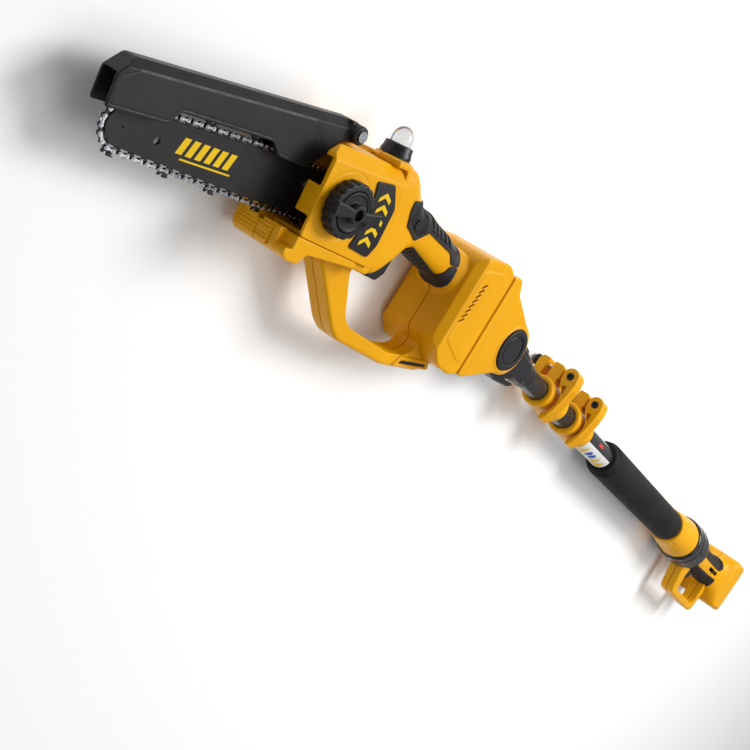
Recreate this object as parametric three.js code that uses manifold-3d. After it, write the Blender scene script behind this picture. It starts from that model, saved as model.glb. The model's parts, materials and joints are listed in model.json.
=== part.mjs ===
// Telescoping pole saw: a battery chain saw on a tilting adapter, a three-section pole and a rear handle.
// Millimetres. The finished object lies on its motor side, +X from the saw's tip to the rear handle.
//
// Every piece is modelled in the pole's own frame and turned at the end:
//   x runs along the pole from the tilt axle to the rear handle,
//   y runs from the knob side (negative) to the motor side (positive),
//   z runs from the hand loops (negative) to the oil bulb (positive).

import * as THREE from "three";
import { mergeVertices } from "three/addons/utils/BufferGeometryUtils.js";
import Module from "manifold-3d";

const wasm = await Module();
wasm.setup();

// ---------------------------------------------------------------- driving dimensions

const GAP = 0.3; // clearance between pieces that touch
const SPLIT = 0.15; // half of the clearance between the two halves of a casing
const ROUND = 20; // facets of a large round piece
const SMALL_ROUND = 10; // facets of a small round piece
const TUBE_ROUND = 24; // facets of a tube

const ADAPTER_TILT = 8; // degrees between the pole and the adapter
const SAW_TILT = 17; // degrees between the pole and the guide bar

const TUBE_WALL = 1.2;
const INNER_TUBE_R = 13.5;
const MIDDLE_TUBE_R = INNER_TUBE_R + TUBE_WALL + GAP;
const OUTER_TUBE_R = MIDDLE_TUBE_R + TUBE_WALL + GAP;
const GROOVE_ANGLE = 135; // degrees from +y towards +z
const GROOVE_DEPTH = 1.2;

const CLAMP_1_X = 180;
const CLAMP_2_X = 279;
const CLAMP_NOSE = 10; // length of the clamp in front of its lever
const CLAMP_LENGTH = 50; // length of the clamp behind the front of its lever
const CLAMP_WALL = 4.6;
const CLAMP_LIP = 4; // length of the clamp that grips the thinner tube
const LEVER_WIDTH = 20;
const LEVER_PIN = { y: -21, z: 34, r: 4.4 };
const CLAMP_BOLT_X = 13; // from the front of the clamp

const KNUCKLE_REAR_X = 131;
const KNUCKLE_R = 28;
const KNUCKLE_HALF_WIDTH = 17;
const AXLE_R = 6;

const FOAM_FRONT_X = 434;
const FOAM_REAR_X = 800;
const FOAM_R = 25.5;
const COLLAR_FRONT_X = 880;
const COLLAR_REAR_X = 950;
const COLLAR_R = 38.5;
const HANDLE_END_X = 1180;
const DOCK_HALF_WIDTH = 38.2;

const BAR_HALF_THICKNESS = 1.6;
const CHAIN_HALF_WIDTH = 2.3;
const NOSE = { x: -545, z: 81, r: 18 }; // chain centre line round the bar's nose
const SPROCKET = { x: -303, z: 80, r: 12 }; // chain centre line round the sprocket
const KNOB = { x: -344, z: 84, r: 24 };
const COVER_FACE_Y = -38;
const BAR_WALL_Y = 3.2; // casing wall that the bar is clamped against
const MOTOR_REAR_Y = 27;
const MOTOR_COVER_Y = 30;
const GUARD_HINGE = { x: -337, z: 139 };
const BULB_X = -265;

// ---------------------------------------------------------------- materials

function plastic(colour, roughness) {
  return new THREE.MeshStandardMaterial({ color: colour, roughness, metalness: 0 });
}

function metal(colour, roughness) {
  return new THREE.MeshStandardMaterial({ color: colour, roughness, metalness: 0.9 });
}

const yellow = plastic(0xf2a512, 0.4);
const black = plastic(0x26272a, 0.5);
const rubber = plastic(0x1d1e20, 0.8);
const foam = plastic(0x222325, 0.95);
const clear = plastic(0xdfe6ea, 0.1);
const board = plastic(0x1d5a34, 0.6);
const copper = metal(0xb5713a, 0.4);
const steel = metal(0xb9bcc2, 0.3);
const darkSteel = metal(0x3a3b3e, 0.4);

// ---------------------------------------------------------------- solids

// A three.js geometry as a manifold solid that can be joined and cut.
function toSolid(geometry) {
  const bare = geometry.clone();
  bare.deleteAttribute("normal");
  bare.deleteAttribute("uv");
  const merged = mergeVertices(bare, 1e-4);
  const mesh = new wasm.Mesh({
    numProp: 3,
    vertProperties: new Float32Array(merged.attributes.position.array),
    triVerts: new Uint32Array(merged.index.array),
  });
  return new wasm.Manifold(mesh);
}

function toGeometry(solid) {
  const mesh = solid.getMesh();
  const geometry = new THREE.BufferGeometry();
  geometry.setAttribute("position", new THREE.BufferAttribute(mesh.vertProperties, 3));
  geometry.setIndex(new THREE.BufferAttribute(mesh.triVerts, 1));
  geometry.computeVertexNormals();
  return geometry;
}

function join(...geometries) {
  const solids = geometries.map(toSolid);
  return toGeometry(solids.reduce((sum, next) => sum.add(next)));
}

function cut(geometry, ...tools) {
  const start = toSolid(geometry);
  return toGeometry(tools.map(toSolid).reduce((rest, tool) => rest.subtract(tool), start));
}

function common(a, b) {
  return toGeometry(toSolid(a).intersect(toSolid(b)));
}

// ---------------------------------------------------------------- outlines

// A closed outline with its corners rounded by up to the given radius.
function outline(points, radius = 0) {
  const corners = points.map(([u, v]) => new THREE.Vector2(u, v));
  const shape = new THREE.Shape();
  corners.forEach((corner, i) => {
    const before = corners[(i + corners.length - 1) % corners.length];
    const after = corners[(i + 1) % corners.length];
    const reach = Math.min(radius, corner.distanceTo(before) / 2.2, corner.distanceTo(after) / 2.2);
    const enter = corner.clone().lerp(before, reach / corner.distanceTo(before));
    const leave = corner.clone().lerp(after, reach / corner.distanceTo(after));
    if (i === 0) {
      shape.moveTo(enter.x, enter.y);
    } else {
      shape.lineTo(enter.x, enter.y);
    }
    if (reach > 0) {
      shape.quadraticCurveTo(corner.x, corner.y, leave.x, leave.y);
    }
  });
  shape.closePath();
  return shape;
}

// The same outline moved outwards by a distance, or inwards by a negative one.
function offset(points, distance) {
  const turn = Math.sign(THREE.ShapeUtils.area(points.map(([x, y]) => ({ x, y }))));
  return points.map(([u, v], i) => {
    const [pu, pv] = points[(i + points.length - 1) % points.length];
    const [nu, nv] = points[(i + 1) % points.length];
    const into = new THREE.Vector2(u - pu, v - pv).normalize();
    const out = new THREE.Vector2(nu - u, nv - v).normalize();
    const normal = new THREE.Vector2(into.y + out.y, -into.x - out.x).normalize();
    const stretch = Math.max(0.4, normal.dot(new THREE.Vector2(into.y, -into.x)));
    return [u + (normal.x * distance * turn) / stretch, v + (normal.y * distance * turn) / stretch];
  });
}

function polar(cu, cv, radius, degrees) {
  const angle = THREE.MathUtils.degToRad(degrees);
  return [cu + radius * Math.cos(angle), cv + radius * Math.sin(angle)];
}

function arc(cu, cv, radius, start, end, steps) {
  return Array.from({ length: steps + 1 }, (_, i) => polar(cu, cv, radius, start + ((end - start) * i) / steps));
}

// ---------------------------------------------------------------- basic bodies

function extruded(shape, depth, bevel) {
  return new THREE.ExtrudeGeometry(shape, {
    depth: depth - 2 * bevel,
    curveSegments: 2,
    bevelEnabled: bevel > 0,
    bevelThickness: bevel,
    bevelSize: bevel,
    bevelOffset: -bevel,
    bevelSegments: 1,
  });
}

// A plate whose outline lies in the xz plane, between two depths of y.
function plateY(shape, yLow, yHigh, bevel = 0) {
  const plate = extruded(shape, yHigh - yLow, bevel);
  return plate.rotateX(Math.PI / 2).translate(0, yHigh - bevel, 0);
}

// A plate whose outline lies in the yz plane, between two depths of x.
function plateX(shape, xLow, xHigh, bevel = 0) {
  const plate = extruded(shape, xHigh - xLow, bevel);
  const turn = new THREE.Matrix4().set(0, 0, 1, 0, 1, 0, 0, 0, 0, 1, 0, 0, 0, 0, 0, 1);
  return plate.applyMatrix4(turn).translate(xLow + bevel, 0, 0);
}

function box(xLow, xHigh, yLow, yHigh, zLow, zHigh) {
  const block = new THREE.BoxGeometry(xHigh - xLow, yHigh - yLow, zHigh - zLow);
  return block.translate((xLow + xHigh) / 2, (yLow + yHigh) / 2, (zLow + zHigh) / 2);
}

// A turned piece about the x axis. The closed profile holds [x, radius] pairs.
function turnedX(profile, facets = ROUND) {
  const points = [...profile, profile[0]].map(([x, r]) => new THREE.Vector2(r, x));
  return facingOut(new THREE.LatheGeometry(points, facets).rotateZ(-Math.PI / 2));
}

// A turned piece about an axis along y through (x, z). The closed profile holds [y, radius] pairs.
function turnedY(x, z, profile, facets = ROUND) {
  const points = [...profile, profile[0]].map(([y, r]) => new THREE.Vector2(r, y));
  return facingOut(new THREE.LatheGeometry(points, facets)).translate(x, 0, z);
}

// A turned piece about an axis along z through (x, 0). The closed profile holds [z, radius] pairs.
function turnedZ(x, profile, facets = ROUND) {
  const points = [...profile, profile[0]].map(([z, r]) => new THREE.Vector2(r, z));
  return facingOut(new THREE.LatheGeometry(points, facets).rotateX(Math.PI / 2)).translate(x, 0, 0);
}

function rodX(y, z, radius, xLow, xHigh, facets = SMALL_ROUND) {
  const rod = new THREE.CylinderGeometry(radius, radius, xHigh - xLow, facets);
  return rod.rotateZ(Math.PI / 2).translate((xLow + xHigh) / 2, y, z);
}

function rodY(x, z, radius, yLow, yHigh, facets = SMALL_ROUND) {
  const rod = new THREE.CylinderGeometry(radius, radius, yHigh - yLow, facets);
  return rod.translate(x, (yLow + yHigh) / 2, z);
}

// Turns every face round where the winding gives a negative volume.
function facingOut(geometry) {
  const p = geometry.attributes.position;
  const index = geometry.index.array;
  const [a, b, c] = [new THREE.Vector3(), new THREE.Vector3(), new THREE.Vector3()];
  let volume = 0;
  for (let i = 0; i < index.length; i += 3) {
    a.fromBufferAttribute(p, index[i]);
    b.fromBufferAttribute(p, index[i + 1]);
    c.fromBufferAttribute(p, index[i + 2]);
    volume += a.dot(b.cross(c));
  }
  if (volume < 0) {
    for (let i = 0; i < index.length; i += 3) {
      [index[i], index[i + 1]] = [index[i + 1], index[i]];
    }
  }
  return geometry;
}

// A casing with a rounded section that changes along x. Each station gives its x, the section's
// centre height z, half width hy, half height hz, and how square the section is.
function loft(stations, grow = 0, points = 16) {
  const positions = [];
  for (const { x, z, hy, hz, square } of stations) {
    for (let k = 0; k < points; k++) {
      const angle = (2 * Math.PI * (k + 0.5)) / points;
      const [c, s] = [Math.cos(angle), Math.sin(angle)];
      const y = Math.sign(c) * Math.abs(c) ** (2 / square) * (hy + grow);
      const up = Math.sign(s) * Math.abs(s) ** (2 / square) * (hz + grow);
      positions.push(x, y, z + up);
    }
  }
  const index = [];
  const last = (stations.length - 1) * points;
  for (let i = 0; i < stations.length - 1; i++) {
    for (let k = 0; k < points; k++) {
      const [a, b] = [i * points + k, i * points + ((k + 1) % points)];
      index.push(a, b + points, b, a, a + points, b + points);
    }
  }
  for (let k = 1; k < points - 1; k++) {
    index.push(0, k, k + 1, last, last + k + 1, last + k);
  }
  const geometry = new THREE.BufferGeometry();
  geometry.setAttribute("position", new THREE.Float32BufferAttribute(positions, 3));
  geometry.setIndex(index);
  return facingOut(geometry);
}

const FAR = 2000; // reaches past the whole object

const nearHalf = (geometry) => common(geometry, box(-FAR, FAR, -FAR, -SPLIT, -FAR, FAR));
const farHalf = (geometry) => common(geometry, box(-FAR, FAR, SPLIT, FAR, -FAR, FAR));

function piece(name, geometry, material) {
  const mesh = new THREE.Mesh(geometry, material);
  mesh.name = name;
  return mesh;
}

// ---------------------------------------------------------------- pole tubes and cable

// A round section with one lengthwise groove that keys the tubes to each other.
function keyedCircle(radius) {
  const points = [];
  for (let k = 0; k < TUBE_ROUND; k++) {
    const angle = (360 * k) / TUBE_ROUND;
    const r = angle === GROOVE_ANGLE ? radius - GROOVE_DEPTH : radius;
    points.push(polar(0, 0, r, angle));
  }
  return points;
}

function tube(radius, xFront, xRear) {
  const section = outline(keyedCircle(radius));
  section.holes.push(outline(keyedCircle(radius - TUBE_WALL)));
  return plateX(section, xFront, xRear);
}

function poleTubes() {
  const inner = tube(INNER_TUBE_R, 76, 740);
  const middle = tube(MIDDLE_TUBE_R, CLAMP_1_X + CLAMP_LIP + GAP, 823);
  const outer = tube(OUTER_TUBE_R, CLAMP_2_X + CLAMP_LIP + GAP, 1000);
  return [
    piece("inner_tube", inner, darkSteel),
    piece("middle_tube", middle, darkSteel),
    piece("outer_tube", outer, darkSteel),
    piece("power_cable", rodX(0, 0, 7.5, 40, 1060), rubber),
  ];
}

// ---------------------------------------------------------------- tube clamps

function clampRing(x, thinTubeR, thickTubeR) {
  const outerR = thickTubeR + GAP + CLAMP_WALL;
  const front = x - CLAMP_NOSE;
  const body = turnedX([
    [front, thinTubeR + GAP],
    [front, outerR - 2],
    [front + 2, outerR],
    [x + CLAMP_LENGTH - 1, outerR],
    [x + CLAMP_LENGTH, outerR - 1],
    [x + CLAMP_LENGTH, thickTubeR + GAP],
    [x + CLAMP_LIP, thickTubeR + GAP],
    [x + CLAMP_LIP, thinTubeR + GAP],
  ]);
  const leverSeat = cut(
    box(x - 1, x + LEVER_WIDTH + 1, -40, -6, -40, 24),
    rodX(0, 0, 24, x - 2, x + LEVER_WIDTH + 2, ROUND),
  );
  const ears = outline([[-9, 12], [28, 12], [28, 36], [25, 42], [-5, 42], [-9, 38]]);
  const bore = rodX(0, 0, thickTubeR + GAP, x - 1, x + CLAMP_LENGTH + 1, ROUND);
  const slit = box(front - 1, x + CLAMP_LENGTH + 1, 6.5, 15.5, 19.5, 50);
  const relief = box(front - 1, x + CLAMP_LENGTH + 1, 9, 13, 5, 20);
  const boltHole = rodY(x + CLAMP_BOLT_X, LEVER_PIN.z - 0.5, 2.9, -20, 40);
  const earPlate = cut(plateX(ears, x + 2, x + 25), bore);
  return cut(join(body, earPlate), leverSeat, slit, relief, boltHole);
}

function clampLever(x) {
  const { y, z, r } = LEVER_PIN;
  const side = outline([
    ...arc(y, z, 11, 20, 150, 7),
    [-32.4, 30],
    [-32, 17.6],
    [-30, 2.6],
    [-27.4, -10],
    [-24.4, -19],
    [-20.5, -25.5],
    [-16.5, -27],
    ...arc(0, 0, 24.7, 233, 128, 7),
    [-12, 26],
  ]);
  const boltSlot = box(x + CLAMP_BOLT_X - 3.5, x + CLAMP_BOLT_X + 3.5, y - 6, y + 16, z - 3.4, z + 14);
  return cut(plateX(side, x, x + LEVER_WIDTH), rodX(y, z, r + GAP, x - 1, x + LEVER_WIDTH + 1), boltSlot);
}

function clampNut(x) {
  const ribs = Array.from({ length: 20 }, (_, i) => polar(x, LEVER_PIN.z - 0.5, i % 2 ? 6.2 : 7.2, i * 18));
  return cut(plateY(outline(ribs), 28.3, 36), rodY(x, LEVER_PIN.z - 0.5, 2.8, 20, 40));
}

function clamp(number, x, thinTubeR, thickTubeR) {
  const boltX = x + CLAMP_BOLT_X;
  const { y, z, r } = LEVER_PIN;
  return [
    piece(`clamp_${number}_ring`, clampRing(x, thinTubeR, thickTubeR), yellow),
    piece(`clamp_${number}_lever`, clampLever(x), yellow),
    piece(`clamp_${number}_pin`, rodX(y, z, r, x - 1, x + LEVER_WIDTH + 1), steel),
    piece(`clamp_${number}_bolt`, rodY(boltX, z - 0.5, 2.5, y + r + GAP, 38), steel),
    piece(`clamp_${number}_nut`, clampNut(boltX), black),
  ];
}

// ---------------------------------------------------------------- foam grip, coupling and collar

function poleSleeves() {
  const bore = OUTER_TUBE_R + GAP + 0.1;
  const foamGrip = turnedX([
    [FOAM_FRONT_X, bore],
    [FOAM_FRONT_X, FOAM_R - 4],
    [FOAM_FRONT_X + 2, FOAM_R - 1.2],
    [FOAM_FRONT_X + 6, FOAM_R],
    [FOAM_REAR_X - 6, FOAM_R],
    [FOAM_REAR_X - 2, FOAM_R - 1.2],
    [FOAM_REAR_X, FOAM_R - 4],
    [FOAM_REAR_X, bore],
  ]);
  const coupling = turnedX([
    [FOAM_REAR_X + GAP, bore],
    [FOAM_REAR_X + GAP, 26.5],
    [FOAM_REAR_X + 3, 28],
    [FOAM_REAR_X + 40, 31],
    [FOAM_REAR_X + 42, 31.8],
    [COLLAR_FRONT_X - 3, 34.2],
    [COLLAR_FRONT_X - GAP, 33.6],
    [COLLAR_FRONT_X - GAP, bore],
  ]);
  const collar = turnedX([
    [COLLAR_FRONT_X, bore],
    [COLLAR_FRONT_X, 35.5],
    [COLLAR_FRONT_X + 3, 37.5],
    [COLLAR_FRONT_X + 20, 38],
    [COLLAR_FRONT_X + 23, COLLAR_R],
    [COLLAR_REAR_X - 12, COLLAR_R],
    [COLLAR_REAR_X - 2, 36.5],
    [COLLAR_REAR_X - GAP, 35],
    [COLLAR_REAR_X - GAP, bore],
  ]);
  return [
    piece("foam_grip", foamGrip, foam),
    piece("coupling_sleeve", coupling, yellow),
    piece("lock_collar", collar, black),
  ];
}

// ---------------------------------------------------------------- rear handle

const HANDLE_STATIONS = [
  { x: COLLAR_REAR_X, z: 0, hy: 34, hz: 34, square: 2 },
  { x: 982, z: 0, hy: 34, hz: 34, square: 2 },
  { x: 1000, z: -1, hy: 27, hz: 29, square: 2.2 },
  { x: 1016, z: -2, hy: 21, hz: 24, square: 2.4 },
  { x: 1060, z: -3, hy: 20, hz: 23.5, square: 2.4 },
  { x: 1105, z: -3, hy: 20.5, hz: 24, square: 2.4 },
  { x: 1124, z: -4, hy: 28, hz: 34, square: 3 },
  { x: 1140, z: -6, hy: DOCK_HALF_WIDTH, hz: 47.2, square: 7 },
  { x: HANDLE_END_X, z: -6, hy: DOCK_HALF_WIDTH, hz: 47.2, square: 7 },
];
const HANDLE_WALL = 2.6;
const HANDLE_FLOOR_X = 1150; // inner face of the dock's floor
const HANDLE_TRIGGER_X = 1021;

function handleCasing() {
  const outer = loft(HANDLE_STATIONS);
  const loopSide = outline(
    [[953, -18], [958, -40], [976, -76], [988, -80], [1118, -84], [1128, -78], [1132, -50], [1132, -16]],
    7,
  );
  const fingerRoom = outline(
    [[1000, -10], [988, -40], [996, -65], [1004, -68], [1106, -71], [1114, -64], [1113, -40], [1108, -10]],
    5,
  );
  const loop = cut(plateY(loopSide, -12.5, 12.5, 3), plateY(fingerRoom, -20, 20));
  const cavityStations = HANDLE_STATIONS.slice(2, 8).map((station) => ({ ...station }));
  cavityStations[0].x += 3;
  cavityStations.at(-1).x = HANDLE_FLOOR_X;
  const cavity = loft(cavityStations, -HANDLE_WALL);
  const tubeBore = rodX(0, 0, OUTER_TUBE_R + GAP + 0.1, COLLAR_REAR_X - 1, 1000 + GAP, ROUND);
  const cableWay = rodX(0, 0, 9, 990, 1010, SMALL_ROUND);
  const dockRecess = box(HANDLE_FLOOR_X + 3, HANDLE_END_X + 1, -32, 32, -46, 34);
  const contactWindow = box(HANDLE_FLOOR_X - 2, HANDLE_FLOOR_X + 5, -12, 12, -22, 8);
  const triggerSlot = box(HANDLE_TRIGGER_X - 20, HANDLE_TRIGGER_X + 20, -6.5, 6.5, -60, -10);
  const whole = join(outer, loop);
  return cut(whole, cavity, tubeBore, cableWay, dockRecess, contactWindow, triggerSlot);
}

// A thin soft pad that follows a casing's surface inside the given block.
function softPad(stations, thickness, block) {
  return common(cut(loft(stations, thickness), loft(stations, GAP)), block);
}

function rearHandle() {
  const casing = handleCasing();
  const sliderSlot = box(1066, 1096, -30, -14, -4.2, -0.8);
  const trigger = outline([[-17, -18], [-17, -38], [-8, -45], [4, -41], [17, -31], [17, -18]], 3);
  const slider = join(box(1070, 1086, -24, -20.8, -7.5, 2.5), box(1072, 1084, -22, -15, -3.8, -1.2));
  const padTop = softPad(HANDLE_STATIONS.slice(3, 6), 1.9, box(1017, 1104, -40, 40, 7, 40));
  const padBottom = softPad(HANDLE_STATIONS.slice(3, 6), 1.9, box(1038, 1104, -40, 40, -40, -12));
  const terminals = box(HANDLE_FLOOR_X + 3 + GAP, HANDLE_FLOOR_X + 18, -20, 20, -24, 10);
  return [
    piece("handle_shell_near", cut(nearHalf(casing), sliderSlot), yellow),
    piece("handle_shell_far", farHalf(casing), yellow),
    piece("handle_pad_top", padTop, rubber),
    piece("handle_pad_bottom", padBottom, rubber),
    piece("handle_trigger", plateY(trigger, -6, 6, 1.5).translate(HANDLE_TRIGGER_X, 0, 0), black),
    piece("handle_slider", slider, black),
    piece("handle_terminals", terminals, black),
    piece("handle_switch", box(1064, 1100, -8, 8, -10, 4), black),
  ];
}

// ---------------------------------------------------------------- tilting knuckle

function knuckle() {
  const neck = loft([
    { x: 8, z: 0, hy: KNUCKLE_HALF_WIDTH, hz: 27.5, square: 8 },
    { x: 45, z: -1, hy: KNUCKLE_HALF_WIDTH, hz: 25.5, square: 8 },
    { x: 85, z: 0, hy: 18.5, hz: 19.5, square: 5 },
    { x: 112, z: 0, hy: 18, hz: 18.5, square: 4 },
    { x: KNUCKLE_REAR_X, z: 0, hy: 17, hz: 17, square: 2.4 },
  ]);
  const eye = rodY(0, 0, KNUCKLE_R, -KNUCKLE_HALF_WIDTH, KNUCKLE_HALF_WIDTH, ROUND);
  const socket = rodX(0, 0, INNER_TUBE_R + GAP, 75, KNUCKLE_REAR_X + 1, ROUND);
  const cableWay = rodX(0, 0, 9, 14, 80);
  const axleHole = rodY(0, 0, AXLE_R + 3 * GAP, -30, 30, ROUND);
  const whole = cut(join(neck, eye), socket, cableWay, axleHole);
  return [
    piece("knuckle_near", nearHalf(whole), black),
    piece("knuckle_far", farHalf(whole), black),
  ];
}

// ---------------------------------------------------------------- adapter between pole and saw

const ADAPTER_FACE_X = -68; // plane where the saw's dock meets the adapter
const ADAPTER_HALF_WIDTH = 38;
const ADAPTER_OUTLINE = [
  [ADAPTER_FACE_X, -48],
  [-58, -49.5],
  ...arc(0, 0, 30, -99, 78, 9),
  [-41, 52],
  [-51, 66.5],
  [ADAPTER_FACE_X, 64],
];
const DISC_R = 23.3;

function adapterCasing() {
  const w = ADAPTER_HALF_WIDTH;
  const body = plateY(outline(ADAPTER_OUTLINE, 4), -w, w, 3);
  const tongue = join(
    box(ADAPTER_FACE_X - 6.3, ADAPTER_FACE_X + 2, -27, 27, -44, 38),
    box(ADAPTER_FACE_X - 16, ADAPTER_FACE_X - 6, -31, 31, -44, 38),
  );
  const knuckleSlot = box(-31, 60, -KNUCKLE_HALF_WIDTH - 0.8, KNUCKLE_HALF_WIDTH + 0.8, -80, 80);
  const cavity = plateY(
    outline([[ADAPTER_FACE_X + 3, -44], [-58, -45], [-35, -36], [-35, 45], [-43, 50], [-53, 62], [ADAPTER_FACE_X + 3, 60]]),
    -w + 3,
    w - 3,
  );
  const discPocket = (yLow, yHigh) => rodY(0, 0, DISC_R + GAP, yLow, yHigh, ROUND);
  const axleHole = rodY(0, 0, AXLE_R + GAP, -30, 30);
  const latchSlot = box(-64, -46, -11, 11, -60, -40);
  const contactSlot = box(ADAPTER_FACE_X - 17, ADAPTER_FACE_X - 4, -9, 9, 4, 39);
  const wireWay = box(ADAPTER_FACE_X - 10, ADAPTER_FACE_X + 8, -6, 6, 10, 20);
  return cut(
    join(body, tongue),
    knuckleSlot,
    cavity,
    discPocket(-w - 1, -25.5),
    discPocket(29.5, w + 1),
    axleHole,
    latchSlot,
    contactSlot,
    wireWay,
  );
}

function pressedDisc(faceY, backY) {
  const toward = Math.sign(backY - faceY);
  return turnedY(0, 0, [
    [backY, 0],
    [backY, DISC_R],
    [faceY + toward * 2, DISC_R],
    [faceY, DISC_R - 2],
    [faceY, 17],
    [faceY + toward * 1.5, 15.5],
    [faceY + toward * 1.5, 0],
  ]);
}

function adapter() {
  const casing = adapterCasing();
  const latch = join(box(-63.4, -46.6, -10.4, 10.4, -53, -41), box(-63.4, -53, -14, 14, -41.8, -38));
  return [
    piece("adapter_shell_near", nearHalf(casing), yellow),
    piece("adapter_shell_far", farHalf(casing), yellow),
    piece("pivot_axle", rodY(0, 0, AXLE_R, -25, 29), steel),
    piece("tilt_button", pressedDisc(-41, -30.5), black),
    piece("pivot_cap", pressedDisc(38, 29.5 + GAP), black),
    piece("adapter_latch", latch, black),
    piece("adapter_contacts", box(ADAPTER_FACE_X - 15.7, ADAPTER_FACE_X - 4.3, -8.7, 8.7, 4.3, 37.7), black),
  ];
}

// ---------------------------------------------------------------- saw casing

const SAW_STATIONS = [
  { x: -292, z: 82, hy: 31, hz: 50, square: 6 },
  { x: -258, z: 82, hy: 30, hz: 50, square: 6 },
  { x: -236, z: 81, hy: 27, hz: 38, square: 4 },
  { x: -210, z: 81, hy: 20.5, hz: 21, square: 2.6 },
  { x: -172, z: 71, hy: 18.5, hz: 19.5, square: 2.4 },
  { x: -140, z: 61, hy: 19, hz: 19, square: 2.4 },
  { x: -122, z: 50, hy: 28, hz: 28, square: 3 },
];
const SAW_WALL = 3;
const COVER_OUTLINE = [[-375, 51], [-277, 41], [-272, 84], [-282, 128.5], [-366, 128.5], [-375, 120]];
const MOTOR_OUTLINE = [
  [-376, 56],
  [-371, 46],
  [-350, 37],
  [-300, 31],
  [-276, 33],
  [-269, 84],
  [-278, 120],
  [-286, 128.5],
  [-366, 128.5],
  [-376, 119],
];
const CHIN_OUTLINE = [[-385, 49], [-385, 35], [-380, 30], [-365, 29.6], [-361, 36], [-316, 34.5], [-316, 44]];
const DOCK_FRONT_X = -131; // in the adapter's frame, like the face that the dock meets
const DOCK_OUTLINE = [
  [ADAPTER_FACE_X - GAP, -48],
  [-80, -53],
  [-108, -50],
  [DOCK_FRONT_X, -30],
  [DOCK_FRONT_X, 57],
  [-122, 65],
  [-84, 71],
  [ADAPTER_FACE_X - GAP, 64],
];

// Turns a geometry from the adapter's frame into the saw's frame.
function fromAdapterFrame(geometry) {
  return geometry.rotateY(THREE.MathUtils.degToRad(SAW_TILT - ADAPTER_TILT));
}

function dockSlots() {
  const x = ADAPTER_FACE_X;
  return [
    fromAdapterFrame(box(x - 6.9, x + 8, -27.8, 27.8, -70, 39)),
    fromAdapterFrame(box(x - 16.8, x - 5.2, -31.8, 31.8, -70, 39)),
  ];
}

// The dock's two front corners are chamfered, seen from above.
function dockBlock() {
  const w = ADAPTER_HALF_WIDTH;
  const side = plateY(outline(DOCK_OUTLINE, 6), -w, w, 3);
  const plan = outline([[-60, -w - 1], [-60, w + 1], [-122, w + 1], [-133, 28], [-133, -28], [-122, -w - 1]]);
  const prism = extruded(plan, 200, 0).translate(0, 0, -100);
  return fromAdapterFrame(common(side, prism));
}

function sawLoop() {
  const side = outline(
    [
      [-308, 42.5],
      [-308, 30],
      [-258, -25],
      [-244, -35],
      [-165, -50],
      [-105, -50],
      [-98, -44],
      [-98, 10],
      [-115, 20],
      [-250, 66],
      [-268, 66],
      [-277, 40],
    ],
    6,
  );
  const fingerRoom = outline(
    [[-260, 60], [-269, 30], [-246, -12], [-234, -21], [-162, -37], [-136, -36], [-124, -26], [-124, 70], [-225, 70]],
    6,
  );
  return cut(plateY(side, -14, 14, 3.5), plateY(fingerRoom, -20, 20));
}

function sawCasing() {
  const bulbBoss = turnedZ(BULB_X, [[110, 0], [110, 18], [134, 17], [134, 0]]);
  const cavityStations = SAW_STATIONS.slice(1).map((station) => ({ ...station }));
  cavityStations[0].x -= 9;
  const cavity = loft(cavityStations, -SAW_WALL);
  const dockCavity = fromAdapterFrame(
    plateY(outline([[-120.5, -34], [-105, -47], [-88.3, -48], [-88.3, 67], [-114, 62], [-120.5, 55]]), -35, 35),
  );
  const coverRoom = plateY(outline(offset(COVER_OUTLINE, 0.4)), -60, BAR_WALL_Y);
  const triggerSlot = box(-246, -205, -6.5, 6.5, 20, 68);
  const whole = join(
    loft(SAW_STATIONS),
    dockBlock(),
    sawLoop(),
    bulbBoss,
  );
  return cut(whole, cavity, dockCavity, coverRoom, triggerSlot, ...dockSlots());
}

// The bar side wall, the motor housing and the guard's hinge lug.
function motorHousing() {
  const block = plateY(outline(MOTOR_OUTLINE, 5), BAR_WALL_Y, MOTOR_REAR_Y, 2.5);
  const chin = plateY(outline(CHIN_OUTLINE, 2), SPLIT, MOTOR_REAR_Y);
  const flatFront = plateY(outline(offset(MOTOR_OUTLINE, -1.2)), BAR_WALL_Y, BAR_WALL_Y + 5);
  const lug = plateY(
    outline([[-350, 129], [-324, 129], ...arc(GUARD_HINGE.x, GUARD_HINGE.z, 8.5, 0, 180, 8)]),
    -9,
    5,
  );
  const lugFoot = box(-350, -324, BAR_WALL_Y + 0.2, 12, 110, 130.6);
  return join(block, chin, flatFront, lug, lugFoot);
}

function sawShells() {
  const casing = sawCasing();
  const motorRoom = plateY(outline(offset(MOTOR_OUTLINE, -3.2), 4), 6.2, MOTOR_REAR_Y + 1);
  const studHole = rodY(KNOB.x, KNOB.z, 4.4, 0, 10);
  const shaftHole = rodY(SPROCKET.x, SPROCKET.z, 3.6, 0, 10);
  const hingeHole = rodY(GUARD_HINGE.x, GUARD_HINGE.z, 3 + GAP, -10, 10);
  const buttonHole = rodY(-226, 88, 5.5, -40, -10);
  const coverSeat = plateY(outline(offset(MOTOR_OUTLINE, 0.4)), MOTOR_REAR_Y, MOTOR_REAR_Y + 20);
  const farSide = join(cut(farHalf(casing), coverSeat), motorHousing());
  return [
    piece("saw_shell_near", cut(nearHalf(casing), buttonHole), yellow),
    piece("saw_shell_far", cut(farSide, motorRoom, studHole, shaftHole, hingeHole), yellow),
  ];
}

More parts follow.
